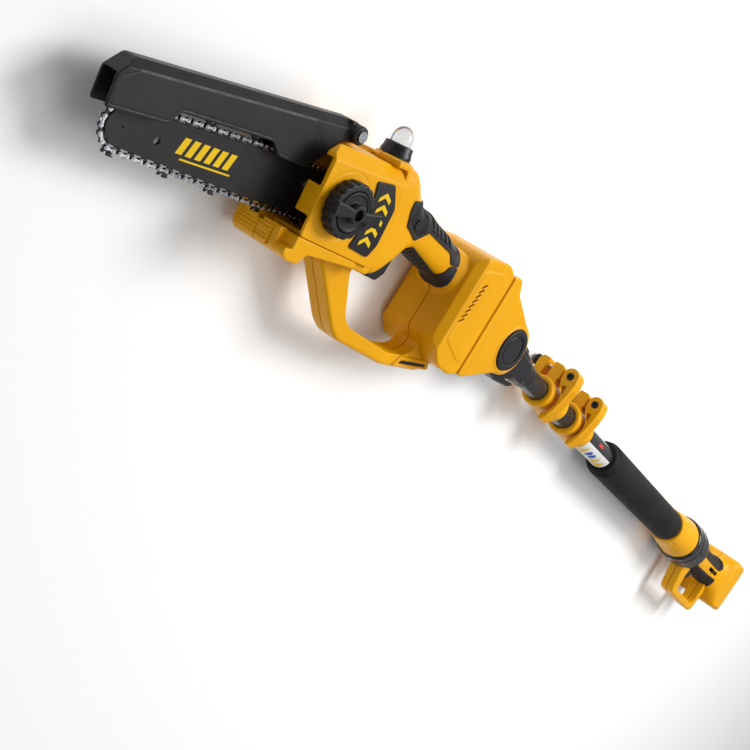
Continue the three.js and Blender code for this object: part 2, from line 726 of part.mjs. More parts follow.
function sprocketCover() {
  const body = plateY(outline(COVER_OUTLINE, 3), COVER_FACE_Y, BAR_WALL_Y - GAP, 0);
  const chamfer = plateX(outline([[COVER_FACE_Y - 1, 117], [COVER_FACE_Y + 11, 130], [COVER_FACE_Y - 1, 130]]), -400, -260);
  const room = plateY(outline(offset(COVER_OUTLINE, -3), 3), COVER_FACE_Y + 3, BAR_WALL_Y + 1);
  const chainMouth = box(-380, -368, -7, BAR_WALL_Y + 1, 52.6, 112);
  const guardMouth = box(-380, -370, -11, BAR_WALL_Y + 1, 98, 118);
  const knobHole = rodY(KNOB.x, KNOB.z, 13.3, COVER_FACE_Y - 1, COVER_FACE_Y + 4, ROUND);
  return cut(body, chamfer, room, chainMouth, guardMouth, knobHole);
}

function motorCover() {
  const plate = plateY(outline(offset(MOTOR_OUTLINE, -1.5), 5), MOTOR_REAR_Y + GAP, MOTOR_COVER_Y, 1.2);
  const slots = Array.from({ length: 5 }, (_, i) => box(-330 + i * 11, -325 + i * 11, 20, 40, 66, 94));
  return cut(plate, ...slots);
}

function frontChin() {
  const ribs = Array.from({ length: 5 }, (_, i) => box(-390, -383.5, -32 + i * 6, -29.5 + i * 6, 34, 47));
  return cut(plateY(outline(CHIN_OUTLINE, 2), COVER_FACE_Y, -SPLIT), ...ribs);
}

// ---------------------------------------------------------------- bar, chain and guard

// The chain's closed path in the xz plane, moved outwards by a distance.
function chainPath(out) {
  return [
    ...arc(NOSE.x, NOSE.z, NOSE.r + out, 90, 270, 10),
    [-400, 57 - out],
    [-336, 57 - out],
    ...arc(SPROCKET.x, SPROCKET.z, SPROCKET.r + out, -90, 90, 6),
    [-336, 101 + out],
    [-400, 103.5 + out],
  ];
}

function guideBar() {
  const edge = 3.3; // the bar's edge lies this far inside the chain's centre line
  const bar = outline([
    ...arc(NOSE.x, NOSE.z, NOSE.r - edge, 90, 270, 10),
    [-400, 57 + edge],
    [-336, 57 + edge],
    [-322, 72],
    [-322, 88],
    [-336, 101 - edge],
    [-400, 103.5 - edge],
  ]);
  bar.holes.push(outline(arc(-511, 79, 3, 0, 324, 9)));
  bar.holes.push(outline([[-358, 79.7], [-331, 79.7], [-331, 88.3], [-358, 88.3]]));
  return plateY(bar, -BAR_HALF_THICKNESS, BAR_HALF_THICKNESS);
}

function sawChain() {
  const belt = outline(chainPath(3.2));
  belt.holes.push(outline(chainPath(-2.8)));
  return plateY(belt, -CHAIN_HALF_WIDTH, CHAIN_HALF_WIDTH);
}

function tipGuard() {
  const side = outline(
    [
      [-581, 88],
      [-526, 90],
      [-519, 101],
      [-425, 106],
      [-414, 95],
      [-378, 95],
      [-378, 131.5],
      [-333, 132.5],
      [-328, 139],
      [-331, 146],
      [-341, 148],
      [-570, 127],
    ],
    2,
  );
  const channel = outline([
    [-600, 60],
    [-600, 120],
    [-570, 123],
    [-356, 142.5],
    [-355, 160],
    [-320, 160],
    [-320, 60],
  ]);
  const boss = rodY(GUARD_HINGE.x, GUARD_HINGE.z, 8, -19, -11);
  const pinHole = rodY(GUARD_HINGE.x, GUARD_HINGE.z, 3 + GAP, -20, 20);
  return cut(join(plateY(side, -12, 8), boss), plateY(channel, -9.5, 5.5), pinHole);
}

function cuttingGear() {
  const pin = join(
    rodY(GUARD_HINGE.x, GUARD_HINGE.z, 3, -21, 9.5),
    rodY(GUARD_HINGE.x, GUARD_HINGE.z, 5, -21, -19 - GAP),
  );
  const stud = join(
    rodY(KNOB.x, KNOB.z, 4, -44, 9),
    rodY(KNOB.x, KNOB.z, 8, 6.2 + GAP, 9),
    rodY(KNOB.x, KNOB.z, 10, BAR_HALF_THICKNESS + GAP, BAR_WALL_Y - GAP),
  );
  const sprocketTeeth = Array.from({ length: 24 }, (_, i) =>
    polar(SPROCKET.x, SPROCKET.z, i % 4 < 2 ? 8.6 : 6.6, i * 15),
  );
  const sprocket = cut(plateY(outline(sprocketTeeth), -2.2, 2.2), rodY(SPROCKET.x, SPROCKET.z, 3.3, -5, 5));
  return [
    piece("guide_bar", guideBar(), darkSteel),
    piece("saw_chain", sawChain(), steel),
    piece("tip_guard", tipGuard(), black),
    piece("guard_pin", pin, steel),
    piece("bar_stud", stud, steel),
    piece("drive_sprocket", sprocket, steel),
  ];
}

// ---------------------------------------------------------------- motor

function motor() {
  const rotor = turnedY(SPROCKET.x, SPROCKET.z, [
    [-6, 0],
    [-6, 3],
    [11, 3],
    [11, 12.4],
    [22, 12.4],
    [22, 3],
    [25, 3],
    [25, 0],
  ]);
  const stator = turnedY(SPROCKET.x, SPROCKET.z, [[10.5, 13], [10.5, 21], [24, 21], [24, 13]]);
  const bearing = turnedY(SPROCKET.x, SPROCKET.z, [[6.5, 3.3], [6.5, 8], [10, 8], [10, 3.3]], SMALL_ROUND);
  return [
    piece("rotor", rotor, steel),
    piece("motor_stator", stator, copper),
    piece("shaft_bearing", bearing, steel),
  ];
}

// ---------------------------------------------------------------- knob, buttons, bulb and pads

function knobs() {
  const scallops = Array.from({ length: 60 }, (_, i) =>
    polar(KNOB.x, KNOB.z, KNOB.r - (i % 3 === 0 ? 1.6 : 0), i * 6),
  );
  const ring = outline(scallops);
  ring.holes.push(outline(arc(KNOB.x, KNOB.z, 18.2, 0, 342, 19)));
  const hub = rodY(KNOB.x, KNOB.z, 12.5, -44, -30, ROUND);
  const dial = rodY(KNOB.x, KNOB.z, 17.5, -51, -40, ROUND);
  const wing = plateY(
    outline([[-28, -5.5], [-8, -4.5], [8, -4.5], [28, -5.5], [28, 5.5], [8, 4.5], [-8, 4.5], [-28, 5.5]], 3),
    -57,
    -50.6,
    1,
  ).translate(KNOB.x, 0, KNOB.z);
  const threadHole = rodY(KNOB.x, KNOB.z, 4 + GAP, -45, -20);
  return [
    piece("tension_ring", plateY(ring, -50, COVER_FACE_Y - GAP), black),
    piece("lock_knob", cut(join(hub, dial, wing), threadHole), black),
  ];
}

function sawControls() {
  const trigger = outline([[-243, 60], [-243, 37], [-238, 29], [-222, 27], [-213, 35], [-208, 60]], 3);
  const bulb = turnedZ(BULB_X, [[138, 0], [138, 9.8], [150, 9.8], [155.5, 8.4], [159.5, 5], [161, 0]]);
  const ring = turnedZ(BULB_X, [[134 + GAP, 10.4], [134 + GAP, 14.5], [138, 14.5], [145, 13], [145, 10.4]]);
  return [
    piece("saw_trigger", plateY(trigger, -6, 6, 1.5), black),
    piece("lock_off_button", rodY(-226, 88, 5, -28, -15), black),
    piece("oil_bulb", bulb, clear),
    piece("bulb_ring", ring, black),
  ];
}

function sawFittings() {
  const badge = outline(
    [[-317, 54], [-290, 50], [-284, 62], [-283, 96], [-296, 115], [-318, 113], [-314, 100], [-313, 70]],
    3,
  );
  const upper = plateY(outline([[-206, 88], [-206, 115], [-140, 95], [-140, 66]]), -40, 40);
  const lower = plateY(outline([[-204, 73], [-140, 54], [-140, 30], [-204, 45]]), -40, 40);
  return [
    piece("badge_plate", plateY(badge, -39.6, COVER_FACE_Y - GAP), black),
    piece("motor_cover", motorCover(), yellow),
    piece("front_chin", frontChin(), yellow),
    piece("sprocket_cover", sprocketCover(), yellow),
    piece("saw_pad_top", softPad(SAW_STATIONS.slice(3, 6), 2, upper), rubber),
    piece("saw_pad_bottom", softPad(SAW_STATIONS.slice(3, 6), 2, lower), rubber),
    piece("saw_switch", box(-240, -208, -8, 8, 69, 92), black),
    piece("control_board", fromAdapterFrame(box(-117, -114, -20, 20, -28, 48)), board),
    piece("saw_contacts", fromAdapterFrame(box(-98, -90, -14, 14, -5, 30)), black),
  ];
}

// ---------------------------------------------------------------- assembly

function tilted(degrees, pieces) {
  const group = new THREE.Group();
  group.rotation.y = -THREE.MathUtils.degToRad(degrees);
  group.add(...pieces);
  return group;
}

const pole = [
  ...poleTubes(),
  ...clamp(1, CLAMP_1_X, INNER_TUBE_R, MIDDLE_TUBE_R),
  ...clamp(2, CLAMP_2_X, MIDDLE_TUBE_R, OUTER_TUBE_R),
  ...poleSleeves(),
  ...rearHandle(),
  ...knuckle(),
];
const saw = [
  ...sawShells(),
  ...cuttingGear(),
  ...motor(),
  ...knobs(),
  ...sawControls(),
  ...sawFittings(),
];

const poleFrame = new THREE.Group();
poleFrame.add(...pole, tilted(ADAPTER_TILT, adapter()), tilted(SAW_TILT, saw));

// The object lies on its motor side, with its origin under the middle of its box.
poleFrame.rotation.x = -Math.PI / 2;
const poleSaw = new THREE.Group();
poleSaw.add(poleFrame);
const extent = new THREE.Box3().setFromObject(poleSaw, true);
const middle = extent.getCenter(new THREE.Vector3());
poleFrame.position.set(-middle.x, -middle.y, -extent.min.z);

export default poleSaw;
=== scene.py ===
import json
from functools import partial
from math import copysign, cos, dist, pi, radians, sin

import bmesh
import bpy
from mathutils import Matrix, Vector


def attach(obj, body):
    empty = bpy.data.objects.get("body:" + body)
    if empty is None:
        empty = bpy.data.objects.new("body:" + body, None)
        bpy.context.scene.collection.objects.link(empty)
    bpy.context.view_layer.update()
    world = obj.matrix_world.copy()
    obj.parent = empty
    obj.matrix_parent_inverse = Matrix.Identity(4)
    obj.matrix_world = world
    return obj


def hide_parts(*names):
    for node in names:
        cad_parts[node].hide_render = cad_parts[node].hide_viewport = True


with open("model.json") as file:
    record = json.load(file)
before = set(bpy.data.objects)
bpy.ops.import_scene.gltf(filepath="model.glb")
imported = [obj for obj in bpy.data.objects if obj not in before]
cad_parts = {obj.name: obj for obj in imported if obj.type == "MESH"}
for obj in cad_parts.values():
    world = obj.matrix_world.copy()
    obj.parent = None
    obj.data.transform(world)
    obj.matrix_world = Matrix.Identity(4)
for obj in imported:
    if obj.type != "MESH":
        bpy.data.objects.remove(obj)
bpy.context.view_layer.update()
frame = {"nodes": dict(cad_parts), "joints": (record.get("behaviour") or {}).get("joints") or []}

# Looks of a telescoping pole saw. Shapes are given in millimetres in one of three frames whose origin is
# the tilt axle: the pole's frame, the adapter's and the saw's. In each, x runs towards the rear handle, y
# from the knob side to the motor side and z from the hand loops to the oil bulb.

SCENE = bpy.context.scene
NODES = frame["nodes"]
JOINTS = {joint["name"]: joint for joint in frame["joints"]}
AXLE = Vector(JOINTS["head_tilt"]["pos_m"])
MM = 0.001
BEYOND = 2000  # farther out than any shape
SPLIT = 0.15  # half the gap between the two halves of a casing
ROUND = 96  # facets of a large round body
TIP = 1e-6  # a smaller radius is a point on the axis
ADAPTER_TILT, SAW_TILT = 8, 17  # degrees from the pole's frame


def tilted_frame(degrees):
    """From millimetres in a frame turned about the tilt axle to metres in the row frame."""
    c, s = MM * cos(radians(degrees)), MM * sin(radians(degrees))
    rows = ((c, 0, -s, AXLE.x), (s, 0, c, AXLE.y), (0, -MM, 0, AXLE.z), (0, 0, 0, 1))
    return Matrix(rows)


POLE = tilted_frame(0)
ADAPTER = tilted_frame(ADAPTER_TILT)
SAW = tilted_frame(SAW_TILT)
ADAPTER_TO_SAW = Matrix.Rotation(radians(SAW_TILT - ADAPTER_TILT), 4, "Y")


# --- Materials

SLOTS = {}  # the slot in the record that each material is named after
SPECULAR = 0.17
CLOUD_SCALE, SMEAR_SCALE = 18, 60
GRAIN_STRENGTH = 0.25


def fill(node, values):
    for key, value in values.items():
        node.inputs[key].default_value = value


def added(tree, kind, values):
    node = tree.nodes.new("ShaderNode" + kind)
    fill(node, values)
    return node


def shader(name, colour, roughness, metallic=0.0, coat=0.0):
    material = bpy.data.materials.new(name)
    SLOTS[material.name] = name
    material.use_nodes = True
    principled = material.node_tree.nodes["Principled BSDF"]
    fill(
        principled,
        {
            "Base Color": (*colour, 1), "Roughness": roughness, "Metallic": metallic, "Coat Weight": coat,
            "Specular IOR Level": SPECULAR})
    return material, material.node_tree, principled


def noise(tree, scale, detail, stretch=(1, 1, 1)):
    place = added(tree, "TexCoord", {})
    mapping = added(tree, "Mapping", {"Scale": stretch})
    texture = added(tree, "TexNoise", {"Scale": scale, "Detail": detail})
    tree.links.new(place.outputs["Object"], mapping.inputs["Vector"])
    tree.links.new(mapping.outputs["Vector"], texture.inputs["Vector"])
    return texture.outputs["Fac"]


def ramp(tree, source, low, high):
    """Spreads the middle of a noise over the range from low to high."""
    stops = added(tree, "MapRange", {"From Min": 0.3, "From Max": 0.7, "To Min": low, "To Max": high})
    tree.links.new(source, stops.inputs["Value"])
    return stops.outputs["Result"]


def tinted(tree, source, first, second):
    mix = tree.nodes.new("ShaderNodeMix")
    mix.data_type = "RGBA"
    mix.inputs["A"].default_value = (*first, 1)
    mix.inputs["B"].default_value = (*second, 1)
    tree.links.new(source, mix.inputs["Factor"])
    return mix.outputs["Result"]


def bumped(tree, principled, height, strength, distance):
    bump = added(tree, "Bump", {"Strength": strength, "Distance": distance})
    tree.links.new(height, bump.inputs["Height"])
    tree.links.new(bump.outputs["Normal"], principled.inputs["Normal"])


def textured(name, first, second, rough, grain, depth, metallic=0.0, coat=0.0, stretch=(1, 1, 1)):
    """Two close tints in soft clouds, a roughness that varies with them, and a fine moulded grain."""
    material, tree, principled = shader(name, first, rough[0], metallic, coat)
    clouds = ramp(tree, noise(tree, CLOUD_SCALE, 4), 0, 1)
    tree.links.new(tinted(tree, clouds, first, second), principled.inputs["Base Color"])
    smear = ramp(tree, noise(tree, SMEAR_SCALE, 5, stretch), *rough)
    tree.links.new(smear, principled.inputs["Roughness"])
    bumped(tree, principled, noise(tree, grain, 2, stretch), GRAIN_STRENGTH, depth)
    return material


YELLOW = textured("yellow_plastic", (0.80, 0.378, 0.001), (0.745, 0.345, 0.0008), (0.30, 0.42), 2600, 0.00008)
CHARCOAL = textured(
    "black_plastic", (0.017, 0.0175, 0.019), (0.024, 0.0245, 0.027), (0.30, 0.44), 2600, 0.00008)
GUARD_GREY = textured(
    "guard_plastic", (0.019, 0.0195, 0.020), (0.024, 0.0245, 0.025), (0.36, 0.48), 2200, 0.00008)
RUBBER = textured("grip_rubber", (0.016, 0.016, 0.018), (0.024, 0.024, 0.027), (0.36, 0.50), 1800, 0.00012)
FOAM = textured("foam_black", (0.009, 0.0095, 0.009), (0.014, 0.0145, 0.014), (0.66, 0.84), 900, 0.0003)
ENAMEL = textured(
    "tube_enamel", (0.022, 0.022, 0.024), (0.030, 0.029, 0.030), (0.18, 0.30), 900, 0.00004, coat=0.3)
COLLAR_BLACK = textured(
    "collar_black", (0.016, 0.016, 0.018), (0.022, 0.022, 0.024), (0.20, 0.30), 1600, 0.00005, coat=0.25)
BAR_STEEL = textured(
    "bar_steel", (0.024, 0.024, 0.0245), (0.030, 0.0295, 0.029), (0.30, 0.42), 700, 0.00004, metallic=0.3,
    stretch=(1, 8, 8))
CHAIN_STEEL = textured(
    "chain_steel", (0.56, 0.57, 0.59), (0.30, 0.31, 0.33), (0.14, 0.30), 900, 0.0001, metallic=1.0)
CHAIN_DARK = textured(
    "chain_black", (0.018, 0.018, 0.020), (0.04, 0.04, 0.045), (0.22, 0.36), 900, 0.0001, metallic=0.6)
BRIGHT_STEEL = textured(
    "bright_steel", (0.60, 0.61, 0.63), (0.48, 0.49, 0.52), (0.18, 0.30), 1400, 0.00006, metallic=1.0)
BOARD = textured("circuit_board", (0.02, 0.12, 0.05), (0.03, 0.15, 0.06), (0.35, 0.45), 500, 0.0001)
COPPER = textured(
    "copper_winding", (0.62, 0.27, 0.10), (0.50, 0.20, 0.07), (0.25, 0.40), 500, 0.0004, metallic=1.0,
    stretch=(1, 1, 12))
PRINT_YELLOW, PRINT_WHITE, PRINT_BLUE, PRINT_RED = [
    textured(name, first, second, (0.40, 0.50), 1500, 0.00005) for name, first, second in (
        ("print_yellow", (0.80, 0.52, 0.004), (0.76, 0.48, 0.004)),
        ("print_white", (0.74, 0.74, 0.72), (0.68, 0.68, 0.66)),
        ("print_blue", (0.02, 0.09, 0.42), (0.03, 0.11, 0.48)),
        ("print_red", (0.65, 0.05, 0.04), (0.58, 0.04, 0.03)))]


def bulb_material():
    material, tree, principled = shader("bulb_clear", (0.78, 0.82, 0.84), 0.10)
    fill(principled, {"Transmission Weight": 0.85, "IOR": 1.42})
    bumped(tree, principled, noise(tree, 120, 3), 0.15, 0.0003)
    return material


BULB = bulb_material()


# --- Outlines

SIDE_SHARE = 2.2  # a rounded corner takes less than half of each side
SHARPEST = 0.4  # keeps an offset from running far out at a sharp corner


def rounded(points, radius, steps=5):
    """A closed outline with its corners rounded by up to the given radius."""
    corners = [Vector(point) for point in points]
    line = []
    for i, corner in enumerate(corners):
        before, after = corners[i - 1], corners[(i + 1) % len(corners)]
        reach = min(radius, (corner - before).length / SIDE_SHARE, (corner - after).length / SIDE_SHARE)
        enter = corner + (before - corner).normalized() * reach
        leave = corner + (after - corner).normalized() * reach
        for k in range(steps + 1):
            t = k / steps
            line.append(tuple(enter * (1 - t) ** 2 + corner * 2 * t * (1 - t) + leave * t * t))
    return line


def offset(points, distance):
    """The same outline moved outwards by a distance, or inwards by a negative one."""
    area = sum(a[0] * b[1] - b[0] * a[1] for a, b in zip(points, points[1:] + points[:1]))
    moved = []
    for i, point in enumerate(points):
        here = Vector(point)
        into = (here - Vector(points[i - 1])).normalized()
        out = (Vector(points[(i + 1) % len(points)]) - here).normalized()
        normal = Vector((into.y + out.y, -into.x - out.x)).normalized()
        stretch = max(SHARPEST, normal.dot(Vector((into.y, -into.x))))
        moved.append(tuple(here + normal * (distance * copysign(1, area) / stretch)))
    return moved


def arc(u, v, radius, start, end, steps):
    angles = [radians(start + (end - start) * i / steps) for i in range(steps + 1)]
    return [(u + radius * cos(a), v + radius * sin(a)) for a in angles]


def circle(u, v, radius, steps=ROUND):
    return arc(u, v, radius, 0, 360 - 360 / steps, steps - 1)


def spaced(start, step, count):
    return [start + step * i for i in range(count)]


# --- Bodies

EASE_STEPS = 6  # stations made from each given one
SECTION_POINTS = 72


def body_from(vertices, faces):
    mesh = bpy.data.meshes.new("body")
    mesh.from_pydata([tuple(v) for v in vertices], [], faces)
    edit = bmesh.new()
    edit.from_mesh(mesh)
    bmesh.ops.recalc_face_normals(edit, faces=edit.faces)
    edit.to_mesh(mesh)
    edit.free()
    body = bpy.data.objects.new("body", mesh)
    SCENE.collection.objects.link(body)
    return body


def at_depth(axis, depth, u, v):
    """A point at a depth along an axis, and at u and v across it."""
    return {"x": (depth, u, v), "y": (u, depth, v), "z": (u, v, depth)}[axis]


def stacked(rings):
    """A closed body through rings that all have the same number of points."""
    count = len(rings[0])
    last = (len(rings) - 1) * count
    faces = [list(range(count)), list(range(last, last + count))]
    for a in range(0, last, count):
        faces += [
            (a + k, a + (k + 1) % count, a + count + (k + 1) % count, a + count + k)
            for k in range(count)]
    return body_from([point for ring in rings for point in ring], faces)


def prism(points, low, high, axis="y", edge=0.0, steps=3):
    """A plate between two depths along an axis, with its edges rounded over."""
    levels = [(0.0, low), (0.0, high)]
    if edge:
        turns = [radians(90 * k / steps) for k in range(steps + 1)]
        first = [(-edge * (1 - sin(t)), low + edge * (1 - cos(t))) for t in turns]
        levels = first + [(inset, low + high - depth) for inset, depth in reversed(first)]
    rings = [(offset(points, inset) if inset else points, depth) for inset, depth in levels]
    return stacked([[at_depth(axis, depth, u, v) for u, v in ring] for ring, depth in rings])


def slab(points, radius, low, high, edge=0.0, axis="y"):
    """A prism with rounded corners in its outline."""
    return prism(rounded(points, radius), low, high, axis, edge)


def rectangle(u0, u1, v0, v1):
    return [(u0, v0), (u1, v0), (u1, v1), (u0, v1)]


def box(x0, x1, y0, y1, z0, z1, edge=0.0):
    return prism(rectangle(x0, x1, z0, z1), y0, y1, "y", edge)


def turned(profile, axis, u=0.0, v=0.0, facets=ROUND):
    """A turned body about an axis. The closed profile holds (depth, radius) pairs."""
    vertices, rings = [], []
    for depth, radius in profile:
        count = facets if radius > TIP else 1
        rings.append(range(len(vertices), len(vertices) + count))
        vertices += [at_depth(axis, depth, u + a, v + b) for a, b in circle(0, 0, radius, facets)[:count]]
    faces = []
    for ring, following in zip(rings, rings[1:] + rings[:1]):
        for k in range(facets):
            corners = [
                ring[k % len(ring)], ring[(k + 1) % len(ring)], following[(k + 1) % len(following)],
                following[k % len(following)]]
            corners = [c for i, c in enumerate(corners) if c not in corners[:i]]
            if len(corners) > 2:
                faces.append(corners)
    return body_from(vertices, faces)


def rod(axis, u, v, radius, low, high, edge=0.0, facets=48):
    profile = [
        (low, 0), (low, radius - edge), (low + edge, radius), (high - edge, radius), (high, radius - edge),
        (high, 0)]
    return turned(
        profile if edge else [(low, 0), (low, radius), (high, radius), (high, 0)], axis, u, v, facets)


def eased(stations):
    """More stations between the given ones, on a curve that never overshoots them."""
    gaps = [b[0] - a[0] for a, b in zip(stations, stations[1:])]
    rows = []
    for column in range(1, 5):
        slopes = [(b[column] - a[column]) / gap for a, b, gap in zip(stations, stations[1:], gaps)]
        inner = [2 * p * q / (p + q) if p * q > 0 else 0.0 for p, q in zip(slopes, slopes[1:])]
        rows.append([slopes[0], *inner, slopes[-1]])
    out = []
    for i, (a, b) in enumerate(zip(stations, stations[1:])):
        for k in range(EASE_STEPS):
            t = k / EASE_STEPS
            station = [a[0] + gaps[i] * t]
            for column in range(4):
                p, q = a[column + 1], b[column + 1]
                m, n = rows[column][i] * gaps[i], rows[column][i + 1] * gaps[i]
                start, end = (2 * t**3 - 3 * t**2 + 1) * p, (3 * t**2 - 2 * t**3) * q
                station.append(start + (t**3 - 2 * t**2 + t) * m + end + (t**3 - t**2) * n)
            out.append(tuple(station))
    return out + [stations[-1]]


def loft(stations, grow=0.0):
    """A casing with a rounded section along x.

    Each station is x, centre height, half width, half height and how square the section is.
    """
    rings = []
    for x, z, hy, hz, square in eased(stations):
        ring = []
        for k in range(SECTION_POINTS):
            angle = 2 * pi * (k + 0.5) / SECTION_POINTS
            c, s = cos(angle), sin(angle)
            y = copysign(abs(c) ** (2 / square), c) * (hy + grow)
            up = copysign(abs(s) ** (2 / square), s) * (hz + grow)
            ring.append((x, y, z + up))
        rings.append(ring)
    return stacked(rings)


def settled(body):
    """Applies the body's modifiers."""
    bpy.context.view_layer.update()
    graph = bpy.context.evaluated_depsgraph_get()
    mesh = bpy.data.meshes.new_from_object(body.evaluated_get(graph))
    body.modifiers.clear()
    body.data = mesh
    return body


def combined(operation, body, *tools):
    for tool in tools:
        modifier = body.modifiers.new(operation, "BOOLEAN")
        modifier.operation = operation
        modifier.solver = "MANIFOLD"
        modifier.object = tool
    settled(body)
    for tool in tools:
        bpy.data.objects.remove(tool)
    return body


join = partial(combined, "UNION")
cut = partial(combined, "DIFFERENCE")
common = partial(combined, "INTERSECT")


def far_half(body):
    return common(body, box(-BEYOND, BEYOND, SPLIT, BEYOND, -BEYOND, BEYOND))


def halves(body):
    near = common(copied(body), box(-BEYOND, BEYOND, -BEYOND, -SPLIT, -BEYOND, BEYOND))
    return near, far_half(body)


def moulded(body, voxel, passes):
    """Softens every edge as a mould does."""
    remesh = body.modifiers.new("remesh", "REMESH")
    remesh.mode = "VOXEL"
    remesh.voxel_size = voxel
    smooth = body.modifiers.new("smooth", "SMOOTH")
    smooth.factor = 0.5
    smooth.iterations = passes
    return settled(body)


def gathered(bodies):
    """Several separate bodies as one piece."""
    whole = bmesh.new()
    for body in bodies:
        body.data.transform(body.matrix_world)
        whole.from_mesh(body.data)
        bpy.data.objects.remove(body)
    mesh = bpy.data.meshes.new("gathered")
    whole.to_mesh(mesh)
    whole.free()
    piece = bpy.data.objects.new("gathered", mesh)
    SCENE.collection.objects.link(piece)
    return piece


def copied(body):
    twin = bpy.data.objects.new("copy", body.data.copy())
    SCENE.collection.objects.link(twin)
    return twin


def placed(body, matrix):
    body.data.transform(matrix)
    return body


def piece(name, body, place, material, rides_on, *nodes, slot=None, smooth=35):
    """Turns a body, or a list of them, into a piece that rides on a CAD body and may stand for CAD nodes.

    Its slot in the record is the one that its material is named after. The slot argument is not used.
    """
    if isinstance(body, list):
        body = gathered(body)
    slot = slot or SLOTS[material.name]
    body.data.transform(place)
    body.name = name
    body.data.name = name
    body.data.materials.clear()
    body.data.materials.append(material)
    body.data.shade_smooth()
    body.data.set_sharp_from_angle(angle=radians(smooth))
    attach(body, rides_on)
    if nodes:
        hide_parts(*nodes)
    return body


# --- Saw casing

COVER_Y = -38.0
WALL_Y = 3.2
HOUSING_Y = 27
DOCK_HALF = 38
LOOP_HALF = 14
HINGE_BORE = 3.3
GUARD_NEAR, GUARD_FAR = -12, 8
KNOB_FACE = -50
BUTTON_HOLE = (-226, 88, 5.5)
KNOB = (-344, 84)
HINGE = (-337, 139)
SPROCKET = (-303, 80)
BULB_X = -265
FACE_X = -68
SAW_STATIONS = [
    (-292, 82, 31, 50, 6), (-258, 82, 30, 50, 6), (-236, 81, 27, 38, 4), (-210, 81, 20.5, 21, 2.6),
    (-172, 71, 18.5, 19.5, 2.4), (-140, 61, 19, 19, 2.4), (-122, 50, 28, 28, 3)]
COVER_OUTLINE = [(-375, 51), (-277, 41), (-272, 84), (-282, 128.5), (-366, 128.5), (-375, 120)]
MOTOR_OUTLINE = [
    (-376, 56), (-371, 46), (-350, 37), (-300, 31), (-276, 33), (-269, 84), (-278, 120), (-286, 128.5),
    (-366, 128.5), (-376, 119)]
GUARD_OUTLINE = [
    (-575, 115), (-574, 91), (-519, 94), (-511.6, 105), (-418, 109), (-406.5, 100), (-374, 99), (-356, 117),
    (-350, 129), (-333, 131), (-328, 139), (-331, 146), (-341, 148), (-380, 144.5), (-563, 128.5)]
CHIN_OUTLINE = [(-385, 49), (-385, 35), (-380, 30), (-365, 29.6), (-361, 36), (-316, 34.5), (-316, 44)]
DOCK_OUTLINE = [
    (FACE_X - 0.3, -48), (-80, -53), (-108, -50), (-131, -30), (-131, 57), (-122, 65), (-84, 71),
    (FACE_X - 0.3, 64)]
LOOP_OUTLINE = [
    (-308, 42.5), (-308, 30), (-258, -25), (-244, -35), (-165, -50), (-105, -50), (-98, -44), (-98, 10),
    (-115, 20), (-250, 66), (-268, 66), (-277, 40)]
FINGER_ROOM = [
    (-260, 60), (-269, 30), (-246, -12), (-234, -21), (-162, -37), (-136, -36), (-124, -26), (-124, 70),
    (-225, 70)]
LOOP_SLOT = [(-145, -45.5), (-140.5, -40.5), (-99, -40), (-96.5, -44.5)]


def dock_block():
    """The square block that slides on the adapter, with chamfered front corners."""
    side = slab(DOCK_OUTLINE, 7, -DOCK_HALF, DOCK_HALF, 2.5)
    plan = [(-60, -39), (-60, 39), (-122, 39), (-133, 28), (-133, -28), (-122, -39)]
    block = common(side, prism(plan, -100, 100, "z"))
    panel = slab([(-119, -22), (-84, -36), (-76, -36), (-76, 50), (-86, 60), (-119, 52)], 5, -38.9, -36)
    vents = [
        slab([(x, z), (x + 6.4, z + 5.4), (x + 7.4, z + 3.2), (x + 1.0, z - 2.2)], 0.6, -42, -34.5)
        for x, z in zip(spaced(-118, 0.8, 8), spaced(-2, 5.6, 8))]
    fold = [
        (-115, -20), (-113.6, -20), (-105, 16), (-94.6, 21.4), (-84.8, 41), (-84.8, 55), (-86.2, 55),
        (-86.2, 41.4), (-95.6, 22.6), (-106, 17)]
    return cut(join(block, panel), prism(fold, -40, -38.3), *vents)


def saw_loop():
    loop = slab(LOOP_OUTLINE, 7, -LOOP_HALF, LOOP_HALF, 3.6)
    return cut(loop, slab(FINGER_ROOM, 7, -20, 20))


def saw_casing():
    cavity_stations = [(-267, *SAW_STATIONS[1][1:]), *SAW_STATIONS[2:]]
    dock_room = [(-120.5, -34), (-105, -47), (-88.3, -48), (-88.3, 67), (-114, 62), (-120.5, 55)]
    slots = [
        box(FACE_X - 6.9, FACE_X + 8, -27.8, 27.8, -70, 39),
        box(FACE_X - 16.8, FACE_X - 5.2, -31.8, 31.8, -70, 39)]
    rim = slab(offset(COVER_OUTLINE, 7), 4, -34, -8, 3)
    rim = common(rim, box(-296, -250, -60, 0, 30, 134))
    slot_frame = slab([(-152, -47.5), (-144, -37), (-96, -36.5), (-92, -46)], 3, -16.2, 16.2, 0.8)
    whole = join(
        loft(SAW_STATIONS), placed(dock_block(), ADAPTER_TO_SAW), saw_loop(), rim, slot_frame,
        turned([(110, 0), (110, 18), (132, 17.4), (134, 16), (134, 0)], "z", BULB_X))
    return cut(
        whole, loft(cavity_stations, -3), placed(prism(dock_room, -35, 35), ADAPTER_TO_SAW),
        slab(offset(COVER_OUTLINE, 0.4), 2.5, -60, WALL_Y), box(-246, -205, -6.5, 6.5, 20, 68),
        *[placed(slot, ADAPTER_TO_SAW) for slot in slots], slab(LOOP_SLOT, 1, -20, -LOOP_HALF - 0.6),
        slab(LOOP_SLOT, 1, LOOP_HALF + 0.6, 20))


def chin_ribs(near, far):
    """Fine level grooves across the front of the chin."""
    return [box(-387, -383.9, near, far, 33.5 + up, 34.9 + up) for up in spaced(0, 3.1, 6)]


